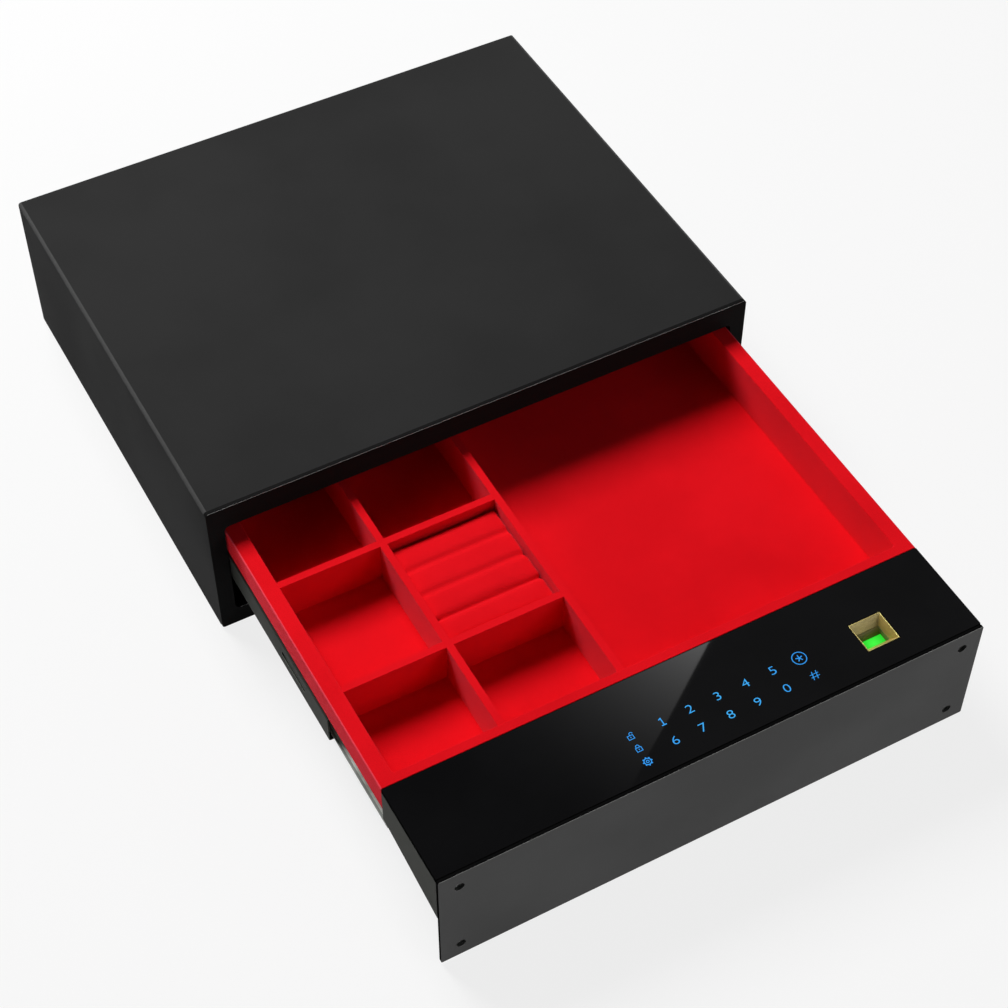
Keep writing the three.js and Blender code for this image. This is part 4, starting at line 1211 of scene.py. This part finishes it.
@dataclass
class LinedDrawer:
    """The pan, the lined tray with its rim, the crossed dividers and the ring cushion."""

    pan_gauge: float = 1
    rim_half: float = 188
    run: Span = (-383.7, -69)
    rim: Span = (71, 92)
    trough_half: float = 178.7
    trough_run: Span = (-382.4, -70.3)
    trough_foot: float = 51.3
    bay_half: float = 177
    bay_run: Span = (-377, -76)
    bay_floor: float = 57.8
    insert_x: tuple[float, ...] = (-176.7, -107, -102, -25, -20)
    insert_y: tuple[float, ...] = (-376.7, -310.5, -305.5, -220.5, -215.5, -76.3)
    insert_floor: Span = (58.1, 59.6)
    divider_top: float = 90
    lined: float = 50
    lining_smooth: float = 60

    def build(self) -> None:
        """Builds and dresses the drawer."""
        self.pan()
        self.tray()
        self.dividers()
        RingCushion().build()

    def pan(self) -> None:
        """Folds the steel pan."""
        low, high = corners_of("drawer_pan")
        bm = block(*zip(low, high))
        drop(bm, lambda face: face.normal.z > 0.5)
        soften(bm, near_middle(bm, lambda at: at.z < high.z - 0.1), 1.4, 4)
        thicken(bm, self.pan_gauge)
        piece("drawer_pan_folded", bm, CASING_PAINT, Body.DRAWER, ["drawer_pan"])

    def tray(self) -> None:
        """Lines the tray: a rim over the slides, and a trough inside the pan."""
        bm = block(around(0, self.rim_half), self.run, self.rim)
        sunk(bm, looking(bm, -1), around(0, self.trough_half), self.trough_run, self.trough_foot)
        sunk(bm, looking(bm, 1), around(0, self.bay_half), self.bay_run, self.bay_floor)
        soften(bm, along(bm, 2, lambda at: abs(abs(at.x) - self.bay_half) < 0.1), 2.2, 4, mark=False)
        foot, top = self.rim
        outside = self.rim_half - 0.1
        over_slides = self.trough_half + 6.3
        # Only the outer top edges are marked, which gives them a painted highlight line
        rounded = (
            (lambda at: at.z > top - NEAR and abs(at.x) > outside, 0.8, 4, True),
            (lambda at: at.z > top - NEAR, 0.8, 4, False),
            (lambda at: abs(at.z - foot) < NEAR and abs(at.x) > over_slides, 0.7, 3, False),
            (lambda at: abs(at.z - self.bay_floor) < NEAR, 1.4, 4, False),
        )
        for where, width, segments, mark in rounded:
            soften(bm, corners(bm, where, self.lined), width, segments, mark)
        piece("velvet_tray_lined", bm, RED_FLOCK, Body.DRAWER, ["velvet_tray"], self.lining_smooth)

    def dividers(self) -> None:
        """Raises the crossed dividers from the insert's floor."""
        across, deep = self.insert_x, self.insert_y
        bm = block((across[0], across[-1]), (deep[0], deep[-1]), self.insert_floor)
        for axis, places in enumerate((across, deep)):
            for place in places[1:-1]:
                split(bm, axis, place)
        walls = [face for face in bm.faces if face.normal.z > 0.5 and self.in_wall(face.calc_center_median())]
        raised = bmesh.ops.extrude_face_region(bm, geom=walls)["geom"]
        bmesh.ops.delete(bm, geom=[face for face in walls if face.is_valid], context="FACES_ONLY")
        for vert in (element for element in raised if isinstance(element, BMVert)):
            vert.co.z = self.divider_top
        flatten(bm, 1)
        bmesh.ops.recalc_face_normals(bm, faces=bm.faces)
        crests = corners(bm, lambda at: at.z > self.divider_top - NEAR, self.lined)
        soften(bm, crests, 1.2, 4, mark=False)
        piece("dividers_lined", bm, RED_FLOCK, Body.DRAWER, ["organizer_insert"], self.lining_smooth)

    def in_wall(self, at: Vector) -> bool:
        """Whether a place of the insert lies under a divider."""
        spots = ((self.insert_x, at.x), (self.insert_y, at.y))
        return any(places[i] < value < places[i + 1] for places, value in spots for i in (1, 3))


@dataclass
class RingCushion:
    """Four padded rolls side by side, with the slits between them that hold rings."""

    x: Span = (-101.9, -25.1)
    y: Span = (-305.4, -220.6)
    z: Span = (59.9, 84)
    rolls: int = 4
    slit: float = 0.5
    swell: float = 0.5
    crown: float = 3
    end: float = 2.5
    held: float = 3
    voxel: float = 1.4
    pressure: float = 4
    moments: int = 20

    def build(self) -> None:
        """Sews the rolls, and fills them out as cloth under pressure."""
        bm = bmesh.new()
        pitch = (self.y[1] - self.y[0]) / self.rolls
        inset = self.slit / 2 + self.swell
        for roll in range(self.rolls):
            mesh = self.roll((self.y[0] + roll * pitch + inset, self.y[0] + (roll + 1) * pitch - inset))
            bm.from_mesh(mesh)
            bpy.data.meshes.remove(mesh)
        made = piece("ring_cushion_padded", bm, RED_FLOCK, Body.DRAWER, ["ring_cushion"], 80)
        self.fill(made)

    def roll(self, run: Span) -> Mesh:
        """Shapes one roll: a bar with a crowned top and drawn-in ends.

        Args:
            run: The roll's ends along y.

        Returns:
            The roll's mesh.
        """
        swell = self.swell
        shape = block((self.x[0] + swell, self.x[1] - swell), run, (self.z[0], self.z[1] - swell))
        soften(shape, near_middle(shape, lambda at: at.z > self.z[1] - 2), self.crown, 5, mark=False)
        soften(shape, along(shape, 2), self.end, 3, mark=False)
        return mesh_of("roll", shape)

    def fill(self, made: Object) -> None:
        """Swells the sewn rolls from inside, with their feet held on the tray and the swelling capped.

        Args:
            made: The cushion.
        """
        remesh = made.modifiers.new("even_faces", "REMESH")
        remesh.mode = "VOXEL"
        remesh.voxel_size = self.voxel * MM
        self.keep_shape(made)
        foot = made.vertex_groups.new(name="foot")
        level = (self.z[0] + self.held) * MM
        foot.add([vert.index for vert in made.data.vertices if vert.co.z < level], 1, "REPLACE")
        sewn = [vert.co.copy() for vert in made.data.vertices]
        cloth = made.modifiers.new("filling", "CLOTH")
        cloth.settings.use_pressure = True
        cloth.settings.uniform_pressure_force = self.pressure
        cloth.settings.effector_weights.gravity = 0
        cloth.settings.vertex_group_mass = "foot"
        cloth.point_cache.frame_start = 1
        cloth.point_cache.frame_end = self.moments
        for moment in range(1, self.moments + 1):
            bpy.context.scene.frame_set(moment)
        self.keep_shape(made)
        bpy.context.scene.frame_set(1)
        self.cap(made, sewn)

    def keep_shape(self, made: Object) -> None:
        """Makes what the modifiers give the cushion's own mesh, and takes the modifiers off.

        Args:
            made: The cushion.
        """
        shaped = as_seen(made)
        made.modifiers.clear()
        made.data = shaped
        shaped.shade_smooth()

    def cap(self, made: Object, sewn: Sequence[Vector]) -> None:
        """Limits how far each point moved, and evens out the result.

        Args:
            made: The cushion.
            sewn: The points before the filling.
        """
        bm = bmesh.new()
        bm.from_mesh(made.data)
        most = self.swell * MM
        for vert, was in zip(bm.verts, sewn):
            move = vert.co - was
            if move.length > most:
                vert.co = was + most * move.normalized()
        for _ in range(3):
            bmesh.ops.smooth_vert(
                bm, verts=bm.verts, factor=0.5, use_axis_x=True, use_axis_y=True, use_axis_z=True
            )
        bm.to_mesh(made.data)
        bm.free()
        LOG.info("%s: filled, %d faces", made.name, len(made.data.polygons))


@dataclass
class Head:
    """The head in front of the drawer: housing, front plate, glass, keypad light, reader and batteries."""

    half: float = 188
    plate_run: Span = (-455, -452.5)
    plate_rise: Span = (2, 92)
    hole_x: float = 174.5
    hole_z: Span = (14, 78)
    hole_radius: float = 3.25
    hole_reach: float = 5
    glass_run: Span = (-452.2, -384)
    glass_rise: Span = (89, 92)
    reader: Spot = (127, -426)
    reader_window: Spot = (11.8, 11.3)
    reader_stem: Spot = (11.5, 11)
    reader_mouth: Spot = (11, 10.5)
    reader_throat: Spot = (8.2, 6)
    nut_radius: float = 6

    def build(self) -> None:
        """Builds and dresses the head."""
        eased("head_housing", HEAD_PAINT, Body.DRAWER, 0.45)
        self.front_plate()
        self.glass()
        self.bezel()
        self.sensor()
        Keypad().build()
        Batteries().build()
        eased("sensor_housing", WELL, Body.DRAWER, 0.1)
        for node in ("keypad_board", "main_board"):
            dress(node, BOARD)
        for rise in ("lower", "upper"):
            for side in Side:
                self.nut(f"plate_nut_{rise}_{side.word}")

    def front_plate(self) -> None:
        """Makes the front plate with its four holes."""
        front, back = self.plate_run
        bm = block(around(0, self.half), self.plate_run, self.plate_rise)
        soften(bm, along(bm, 1), 1, 4, mark=False)
        for x in (-self.hole_x, self.hole_x):
            for z in self.hole_z:
                hole = rod("y", (self.hole_radius, self.hole_radius), (front - 2, back + 2), (x, z), 40)
                bm = combined(bm, hole, Join.CUT)
        face, top = front + NEAR, self.plate_rise[1] - 0.1
        # Painted highlights: the marked top arris and the lower rims of the holes take the paint's pale rim
        # colour
        soften(bm, corners(bm, lambda at: at.y < face and at.z > top), 0.6)
        soften(bm, corners(bm, lambda at: at.y < face and self.at_hole(at, -0.8)), 0.45)
        soften(bm, corners(bm, lambda at: at.y < face), 0.3, mark=False)
        soften(bm, corners(bm, lambda at: at.y > back - NEAR), 0.3, mark=False)
        # Painted shade: the plate's rim and back take the near-black copy of its paint
        give_second(bm, self.on_rim)
        piece("front_plate_eased", bm, PLATE_PAINT, Body.DRAWER, ["front_plate"], second=PLATE_RIM_SHADE)

    def at_hole(self, at: Vector, upto: float) -> bool:
        """Whether a place of the front plate is near a hole, and no higher over its middle than upto."""
        reach = self.hole_reach
        return abs(abs(at.x) - self.hole_x) < reach and any(-reach < at.z - z < upto for z in self.hole_z)

    def on_rim(self, face: BMFace) -> bool:
        """Whether a face of the front plate is on its rim or back, and away from its holes; these faces take
        painted shade.
        """
        turned = face.normal.y > -0.3 or abs(face.normal.x) > 0.3
        return turned and not self.at_hole(face.calc_center_median(), self.hole_reach)

    def glass(self) -> None:
        """Makes the glass with ground edges and the reader's window."""
        low, high = self.glass_rise
        bm = block(around(0, self.half), self.glass_run, self.glass_rise)
        soften(bm, along(bm, 2), 0.8, 4, mark=False)
        bm = combined(bm, block(*map(around, self.reader, self.reader_window), (low - 2, high + 2)), Join.CUT)
        soften(bm, corners(bm, lambda at: at.z > high - NEAR), 0.25, mark=False)
        give_second(bm, lambda face: abs(face.normal.z) < 0.99)
        piece("glass_panel_ground", bm, BLACK_GLASS, Body.DRAWER, ["glass_panel"], second=GROUND_EDGE)

    def bezel(self) -> None:
        """Makes the plated funnel round the reader, with painted shade on its inner back wall."""
        x, y = self.reader
        low, high = self.glass_rise[0] - 3, self.glass_rise[1]
        mouth, throat = self.reader_mouth, self.reader_throat
        bm = block(*map(around, self.reader, self.reader_stem), (low, high))
        hollow = sunk(bm, looking(bm, 1), *map(around, self.reader, mouth), low)
        for vert in hollow.verts:
            vert.co.x = x + math.copysign(throat[0], vert.co.x - x)
            vert.co.y = y + math.copysign(throat[1], vert.co.y - y)
        foot = looking(bm, -1)
        rims = [*hollow.edges, *foot.edges]
        bmesh.ops.delete(bm, geom=[hollow, foot], context="FACES_ONLY")
        bmesh.ops.bridge_loops(bm, edges=rims)
        bmesh.ops.recalc_face_normals(bm, faces=bm.faces)
        inside = mouth[0] - 0.1
        hips = corners(bm, lambda at: low + 0.5 < at.z < high - 0.5 and abs(at.x - x) < inside, 20)
        soften(bm, hips, 0.35, 3, mark=False)
        soften(bm, corners(bm, lambda at: at.z > high - NEAR, 40), 0.12)
        # Painted shade: the inner wall at the back, which faces the front, takes the darker gold
        give_second(bm, lambda face: face.normal.y < -0.5 and face.calc_center_median().y > y)
        piece("fingerprint_funnel", bm, GOLD, Body.DRAWER, ["fingerprint_bezel"], second=SHADED_GOLD)

    def sensor(self) -> None:
        """Makes the lit sensor with its rounded edges."""
        low, high = corners_of("fingerprint_sensor")
        bm = block(*zip(low, high))
        soften(bm, along(bm, 2), 0.3, 3)
        soften(bm, corners(bm, lambda at: at.z > high.z - NEAR), 0.2)
        piece("fingerprint_sensor_lit", bm, SENSOR, Body.DRAWER, ["fingerprint_sensor"])

    def nut(self, node: str) -> None:
        """Makes a captive nut with chamfered corners.

        Args:
            node: The solid that it stands for.
        """
        low, high = corners_of(node)
        middle = (low + high) / 2
        place = (middle.x, middle.z)
        bm = rod("y", (self.nut_radius, self.nut_radius), (low.y, high.y), place, 6)
        bmesh.ops.rotate(bm, cent=middle, matrix=Matrix.Rotation(math.pi / 6, 3, "Y"), verts=bm.verts)
        soften(bm, corners(bm, degrees=70), 0.5)
        for radii, run in (((2.9, 2.9), (low.y - 2, high.y + 2)), ((4.1, 2.6), (low.y - NEAR, low.y + 1.5))):
            bm = combined(bm, rod("y", radii, run, place), Join.CUT)
        piece(f"{node}_chamfered", bm, ZINC, Body.DRAWER, [node])


class Sign(Enum):
    """Lit signs that aren't digits."""

    STAR = "star"
    OPEN_LOCK = "open_lock"
    SHUT_LOCK = "shut_lock"
    COG = "cog"


@dataclass
class Keypad:
    """The lit keypad in the glass: two rows of digits, a ringed star, a hash and three status signs."""

    glass: float = 92
    lift: float = 0.01
    film: float = 0.04
    digit_height: float = 5.8
    digit_stretch: float = 1.22
    thinning: float = -0.12
    line: float = 0.7
    thin_line: float = 0.45
    upper_row: float = -421
    lower_row: float = -436
    upper_keys: tuple[tuple[str, float], ...] = (("1", -21), ("2", -2), ("3", 17.4), ("4", 37), ("5", 56.5))
    lower_keys: tuple[tuple[str, float], ...] = (
        ("6", -21), ("7", -2), ("8", 17.4), ("9", 36.5), ("0", 57), ("#", 77),
    )
    signs: tuple[tuple[Sign, Spot], ...] = (
        (Sign.STAR, (75.7, -421)), (Sign.OPEN_LOCK, (-43, -421)), (Sign.SHUT_LOCK, (-43, -430.5)),
        (Sign.COG, (-43, -441)),
    )

    def build(self) -> None:
        """Builds all the lit signs."""
        for row, keys in ((self.upper_row, self.upper_keys), (self.lower_row, self.lower_keys)):
            for text, x in keys:
                flat = self.figure_one() if text == "1" else self.glyph(text)
                self.lit(f"key_{'hash' if text == '#' else text}", flat, (x, row))
        for sign, place in self.signs:
            self.lit(f"sign_{sign.value}", self.sign(sign), place)

    def lit(self, name: str, bm: BMesh, place: Spot) -> None:
        """Gives a flat sign its thickness and its place on the glass.

        Args:
            name: The piece's name.
            bm: The flat sign about the origin. It is used up.
            place: Its middle on the glass.
        """
        bmesh.ops.remove_doubles(bm, verts=bm.verts, dist=0.001)
        bmesh.ops.recalc_face_normals(bm, faces=bm.faces)
        for face in (face for face in bm.faces if face.normal.z < 0):
            face.normal_flip()
        bmesh.ops.solidify(bm, geom=bm.faces[:], thickness=self.film)
        low = min(vert.co.z for vert in bm.verts)
        bmesh.ops.translate(bm, vec=(*place, self.glass + self.lift - low), verts=bm.verts)
        piece(name, bm, KEY_LIGHT, Body.DRAWER)

    def glyph(self, text: str) -> BMesh:
        """Draws a character.

        Args:
            text: The character.

        Returns:
            The flat character about the origin.
        """
        curve = bpy.data.curves.new(text, "FONT")
        curve.body = text
        curve.size = 10
        curve.offset = self.thinning
        curve.resolution_u = 5
        bm = opened(as_seen(shown(text, curve)))
        bpy.data.curves.remove(curve)
        places = list(zip(*(vert.co for vert in bm.verts)))
        low, high = Vector([*map(min, places)]), Vector([*map(max, places)])
        share = self.digit_height / (high.y - low.y)
        bmesh.ops.translate(bm, vec=-(low + high) / 2, verts=bm.verts)
        bmesh.ops.scale(bm, vec=(self.digit_stretch * share, share, share), verts=bm.verts)
        return bm

    def figure_one(self) -> BMesh:
        """Draws a 1 with a flag and a foot.

        Returns:
            The flat figure about the origin.
        """
        top = self.digit_height / 2
        bm = bmesh.new()
        self.stroke(bm, (0, -top), QUARTER, 2 * top, self.line)
        self.stroke(bm, (0, top - self.line / 2), math.radians(206), 1.7, self.line)
        self.stroke(bm, (-1.6, self.line / 2 - top), 0, 3.2, self.line)
        return bm

    def sign(self, sign: Sign) -> BMesh:
        """Draws a ringed star, a lock or a cog.

        Args:
            sign: Which sign.

        Returns:
            The flat sign about the origin.
        """
        bm = bmesh.new()
        if sign is Sign.STAR:
            self.ring(bm, (4.25, 4.8), 48)
            strokes = [((0, 0), math.radians(90 + 72 * arm), 2.4, 0.62) for arm in range(5)]
        elif sign is Sign.COG:
            self.ring(bm, (1.9, 2.5), 40)
            self.ring(bm, (0.6, 1.1), 24)
            turns = [math.radians(45 * tooth) for tooth in range(8)]
            strokes = [((2.4 * math.cos(turn), 2.4 * math.sin(turn)), turn, 0.7, 0.8) for turn in turns]
        else:
            thin = self.thin_line
            shift = 1.1 if sign is Sign.OPEN_LOCK else 0
            self.ring(bm, (0.85, 1.3), 32)
            drop(bm, lambda face: face.calc_center_median().y < 0)
            bmesh.ops.translate(bm, vec=(shift, 1.3, 0), verts=bm.verts)
            strokes = [((-1.8, y), 0, 3.6, thin) for y in (-2.3, 0.5)]
            strokes += [((x, -2.5), QUARTER, 3.2, thin) for x in (-1.8, 1.8)]
            strokes += [((0, -1.4), QUARTER, 1, 0.5)]
            legs = (shift - 1.08,) if sign is Sign.OPEN_LOCK else (-1.08, 1.08)
            strokes += [((x, 0.5), QUARTER, 0.9, thin) for x in legs]
        for stroke in strokes:
            self.stroke(bm, *stroke)
        return bm

    def ring(self, bm: BMesh, radii: Span, facets: int) -> None:
        """Adds a flat ring about the origin.

        Args:
            bm: The mesh that takes it.
            radii: Its inner and outer radius.
            facets: How many sides it has.
        """
        loops = []
        for radius in radii:
            made = bmesh.ops.create_circle(bm, segments=facets, radius=radius)["verts"]
            loops += list({edge for vert in made for edge in vert.link_edges})
        bmesh.ops.bridge_loops(bm, edges=loops)

    def stroke(self, bm: BMesh, start: Spot, turn: float, length: float, width: float) -> None:
        """Adds a straight flat stroke.

        Args:
            bm: The mesh that takes it.
            start: Where it starts.
            turn: Its direction in radians.
            length: Its length.
            width: Its width.
        """
        made = bmesh.ops.create_grid(bm, x_segments=1, y_segments=1, size=0.5)["verts"]
        bmesh.ops.scale(bm, vec=(length, width, 1), verts=made)
        bmesh.ops.translate(bm, vec=(length / 2, 0, 0), verts=made)
        bmesh.ops.rotate(bm, cent=(0, 0, 0), matrix=Matrix.Rotation(turn, 3, "Z"), verts=made)
        bmesh.ops.translate(bm, vec=(*start, 0), verts=made)


@dataclass
class Batteries:
    """Four cells in their box under a hinged cover in the head's sloping underside."""

    slope: float = 9.163
    hinge: tuple[float, float, float] = (0, -384, 61)
    lid_x: Span = (-168, -116.5)
    lid_y: Span = (-61.4, -5.2)
    gauge: float = 1.2
    ribs: int = 5
    rib_inset: float = 17
    rib_start: float = 4
    rib_pitch: float = 2.4
    groove: float = 1.1

    def build(self) -> None:
        """Builds and dresses the battery compartment."""
        eased("battery_box", PLASTIC, Body.DRAWER)
        for number in range(1, 5):
            dress(f"battery_{number}", CELL)
        self.cover()

    def cover(self) -> None:
        """Makes the cover with its hinge barrel and grip ribs."""
        front, back = self.lid_y
        bm = block(self.lid_x, self.lid_y, (0, self.gauge))
        soften(bm, along(bm, 2, lambda at: at.y < front + 0.1), 2, 5, mark=False)
        soften(bm, corners(bm, lambda at: at.z < NEAR), 0.25)
        bm = combined(bm, rod("x", (1, 1), self.lid_x, (back, self.gauge / 2), 24), Join.ADD)
        width = (self.lid_x[0] + self.rib_inset, self.lid_x[1] - self.rib_inset)
        for rib in range(self.ribs):
            start = front + self.rib_start + self.rib_pitch * rib
            bm = combined(bm, block(width, (start, start + self.groove), (-1, 0.45)), Join.CUT)
        tilt = Matrix.Translation(self.hinge) @ Matrix.Rotation(math.radians(self.slope), 4, "X")
        bmesh.ops.transform(bm, matrix=tilt, verts=bm.verts)
        piece("battery_cover_ribbed", bm, PLASTIC, Body.BATTERY_DOOR, ["battery_cover"])


@dataclass
class Lock:
    """The lock under the drawer: cradle, motor, pinion, racks with their bolts, guides, screws and lead."""

    centre: Spot = (0, -356.5)
    motor: Span = (15.9, 32.9)
    motor_radius: float = 11
    foot_radius: float = 3.5
    shaft_radius: float = 2
    shaft_top: float = 40

    def build(self) -> None:
        """Builds and dresses the lock."""
        eased("lock_cradle", ZINC, Body.DRAWER, 0.3)
        for side in Side:
            eased(f"bolt_{side.word}", ZINC, Body[f"BOLT_{side.name}"], 0.25, 70)
            eased(f"bolt_guide_{side.word}", ZINC, Body.DRAWER, 0.3)
        dress("lock_pinion", ZINC)
        self.geared_motor()
        self.screws()
        dress("motor_lead", RUBBER)

    def geared_motor(self) -> None:
        """Turns the geared motor: a can with a rolled foot, a gearbox collar and its shaft."""
        wide, (foot, top) = self.motor_radius, self.motor
        profile = [
            (0, foot), (self.foot_radius, foot), (self.foot_radius, foot + 0.8), (wide - 1.6, foot + 0.8),
            (wide - 0.6, foot + 1.2), (wide - 0.4, foot + 2), (wide - 0.4, top - 7.4),
            (wide - 0.9, top - 7.1), (wide - 0.9, top - 6.5), (wide, top - 6.2), (wide, top - 0.4),
            (wide - 0.4, top),
            (self.shaft_radius, top), (self.shaft_radius, self.shaft_top), (0, self.shaft_top),
        ]
        bm = spun(profile, 48)
        bmesh.ops.translate(bm, vec=(*self.centre, 0), verts=bm.verts)
        piece("lock_motor_can", bm, MOTOR_STEEL, Body.DRAWER, ["lock_motor"], 30)

    def screws(self) -> None:
        """Puts in the two screws that hold the cradle, their heads downwards."""
        screw = Fastener(shank=1.95, head=3.5, rise=2, length=2.6)
        for number in (1, 2):
            node = f"lock_screw_{number}"
            low, high = corners_of(node)
            seat = Vector(((low.x + high.x) / 2, (low.y + high.y) / 2, low.z + screw.rise))
            screw.place(node, Matrix.Rotation(math.pi, 3, "X"), seat, Body.DRAWER)


# The studio, in metres


@dataclass
class Studio:
    """Pale floor, soft lamps and the camera at the photograph's angle."""

    camera_at: tuple[float, float, float] = (-0.45914, -1.02896, 1.16556)
    yaw: float = 28.62
    pitch: float = 49.65
    lens: float = 78.63
    floor_half: float = 40
    floor_level: float = -0.0005
    whiteness: float = 0.82
    card_height: float = 1.4
    card_outline: tuple[Spot, ...] = ((-0.025, -0.07), (0.745, 0.481), (0.395, 0.971), (-0.375, 0.42))
    card_reach: float = 0.62
    card_power: float = 5.9

    def build(self) -> None:
        """Builds the studio."""
        self.camera()
        self.floor()
        self.world()
        self.lamp("key", (-0.366, 1.168, 1.86), (0, -0.2, 0.05), (1, 1), 60)
        self.lamp("fill", (0.9, -2, 0.9), (0, -0.3, 0.05), (1.2, 0.6), 7)
        self.glass_card()

    def camera(self) -> None:
        """Places the camera."""
        data = bpy.data.cameras.new("camera")
        data.lens = self.lens
        data.sensor_width = 36
        data.clip_start = 0.05
        data.clip_end = 50
        yaw, pitch = math.radians(self.yaw), math.radians(self.pitch)
        look = Vector((math.sin(yaw) * math.cos(pitch), math.cos(yaw) * math.cos(pitch), -math.sin(pitch)))
        camera = shown("camera", data)
        camera.location = self.camera_at
        camera.rotation_euler = look.to_track_quat("-Z", "Y").to_euler()
        bpy.context.scene.camera = camera

    def floor(self) -> None:
        """Lays pale paper under the lamps, near white where it is seen or mirrored, and clear from below."""
        bm = bmesh.new()
        bmesh.ops.create_grid(bm, x_segments=1, y_segments=1, size=self.floor_half)
        floor = shown("floor", mesh_of("floor", bm))
        floor.location.z = self.floor_level
        material, patch = open_material("floor")
        tone = patch.blend(patch.noise(patch.place(), 2), (0.71, 0.71, 0.71), (0.73, 0.73, 0.73))
        feeds = {"Base Color": tone, "Roughness": 0.9, "Specular IOR Level": 0.1}
        paper = patch.add("BsdfPrincipled", feeds).outputs["BSDF"]
        white = patch.add("Emission").outputs["Emission"]
        share = patch.times(self.seen(patch), self.whiteness)
        above = patch.add("MixShader", {0: share, 1: paper, 2: white}).outputs["Shader"]
        below = patch.add("NewGeometry").outputs["Backfacing"]
        clear = patch.add("BsdfTransparent").outputs["BSDF"]
        surface = patch.add("MixShader", {0: below, 1: above, 2: clear}).outputs["Shader"]
        patch.add("OutputMaterial", {"Surface": surface})
        floor.data.materials.append(material)

    def seen(self, patch: Patch) -> NodeSocket:
        """Tells what the camera sees, straight or in metal or glass, from the light on a surface.

        Args:
            patch: The patch that takes the nodes.

        Returns:
            1 for what is seen, and 0 for light.
        """
        rays = patch.add("LightPath").outputs
        straight = patch.math("MAXIMUM", rays["Is Camera Ray"], rays["Is Glossy Ray"])
        return patch.math("MAXIMUM", straight, rays["Is Transmission Ray"])

    def world(self) -> None:
        """Gives the room its light: white where it is seen, dimmer as light, and dim overhead in mirrors."""
        world = bpy.data.worlds.new("studio")
        world.use_nodes = True
        world.node_tree.nodes.clear()
        patch = Patch(world.node_tree)
        ray = patch.add("TexCoord").outputs["Generated"]
        height = patch.add("SeparateXYZ", {"Vector": ray}).outputs["Z"]
        mirrored = patch.math("SUBTRACT", 1, patch.add("LightPath").outputs["Is Camera Ray"])
        overhead = patch.times(patch.spread(height, (0.14, 0.5)), mirrored)
        colour = patch.blend(overhead, (1, 1, 1), (0.05, 0.05, 0.05))
        strength = patch.plus(patch.times(self.seen(patch), 0.65), 0.35)
        background = patch.add("Background", {"Color": colour, "Strength": strength})
        patch.add("OutputWorld", {"Surface": background.outputs["Background"]})
        bpy.context.scene.world = world
        bpy.context.scene.view_settings.view_transform = "Standard"

    def lamp(self, name: str, place: Sequence[float], aim: Sequence[float], size: Span, power: float) -> None:
        """Hangs a soft lamp.

        Args:
            name: The lamp's name.
            place: Where it hangs.
            aim: What it points at.
            size: Its width and height.
            power: Its power in watts.
        """
        data = bpy.data.lights.new(name, "AREA")
        data.shape = "RECTANGLE"
        data.size, data.size_y = size
        data.energy = power
        lamp = shown(name, data)
        lamp.location = place
        lamp.rotation_euler = (Vector(aim) - Vector(place)).to_track_quat("-Z", "Y").to_euler()

    def glass_card(self) -> None:
        """Hangs the lit card that the left part of the glass mirrors, brightest at its second corner."""
        bm = bmesh.new()
        bmesh.ops.create_circle(bm, segments=len(self.card_outline), radius=1, cap_ends=True)
        for vert, spot in zip(bm.verts, self.card_outline):
            vert.co = (*spot, self.card_height)
        card = shown("card", mesh_of("card", bm))
        material, patch = open_material("card")
        away = patch.away(patch.place(), (*self.card_outline[1], self.card_height))
        left = patch.math("SUBTRACT", 1, patch.math("DIVIDE", away, self.card_reach))
        fall = patch.math("POWER", patch.math("MAXIMUM", left, 0), 4.3)
        shine = patch.add("Emission", {"Strength": patch.times(fall, self.card_power)})
        patch.add("OutputMaterial", {"Surface": shine.outputs["Emission"]})
        card.data.materials.append(material)
        card.visible_camera = False
        card.visible_diffuse = False
        card.visible_shadow = False


def main() -> None:
    """Builds the safe's looks."""
    logging.basicConfig(level=logging.INFO, format="%(name)s %(message)s")
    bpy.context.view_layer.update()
    Studio().build()
    for assembly in (Casing(), Slides(), LinedDrawer(), Head(), Lock()):
        assembly.build()
        LOG.info("%s is done", type(assembly).__name__)


if __name__ == "__main__":
    main()
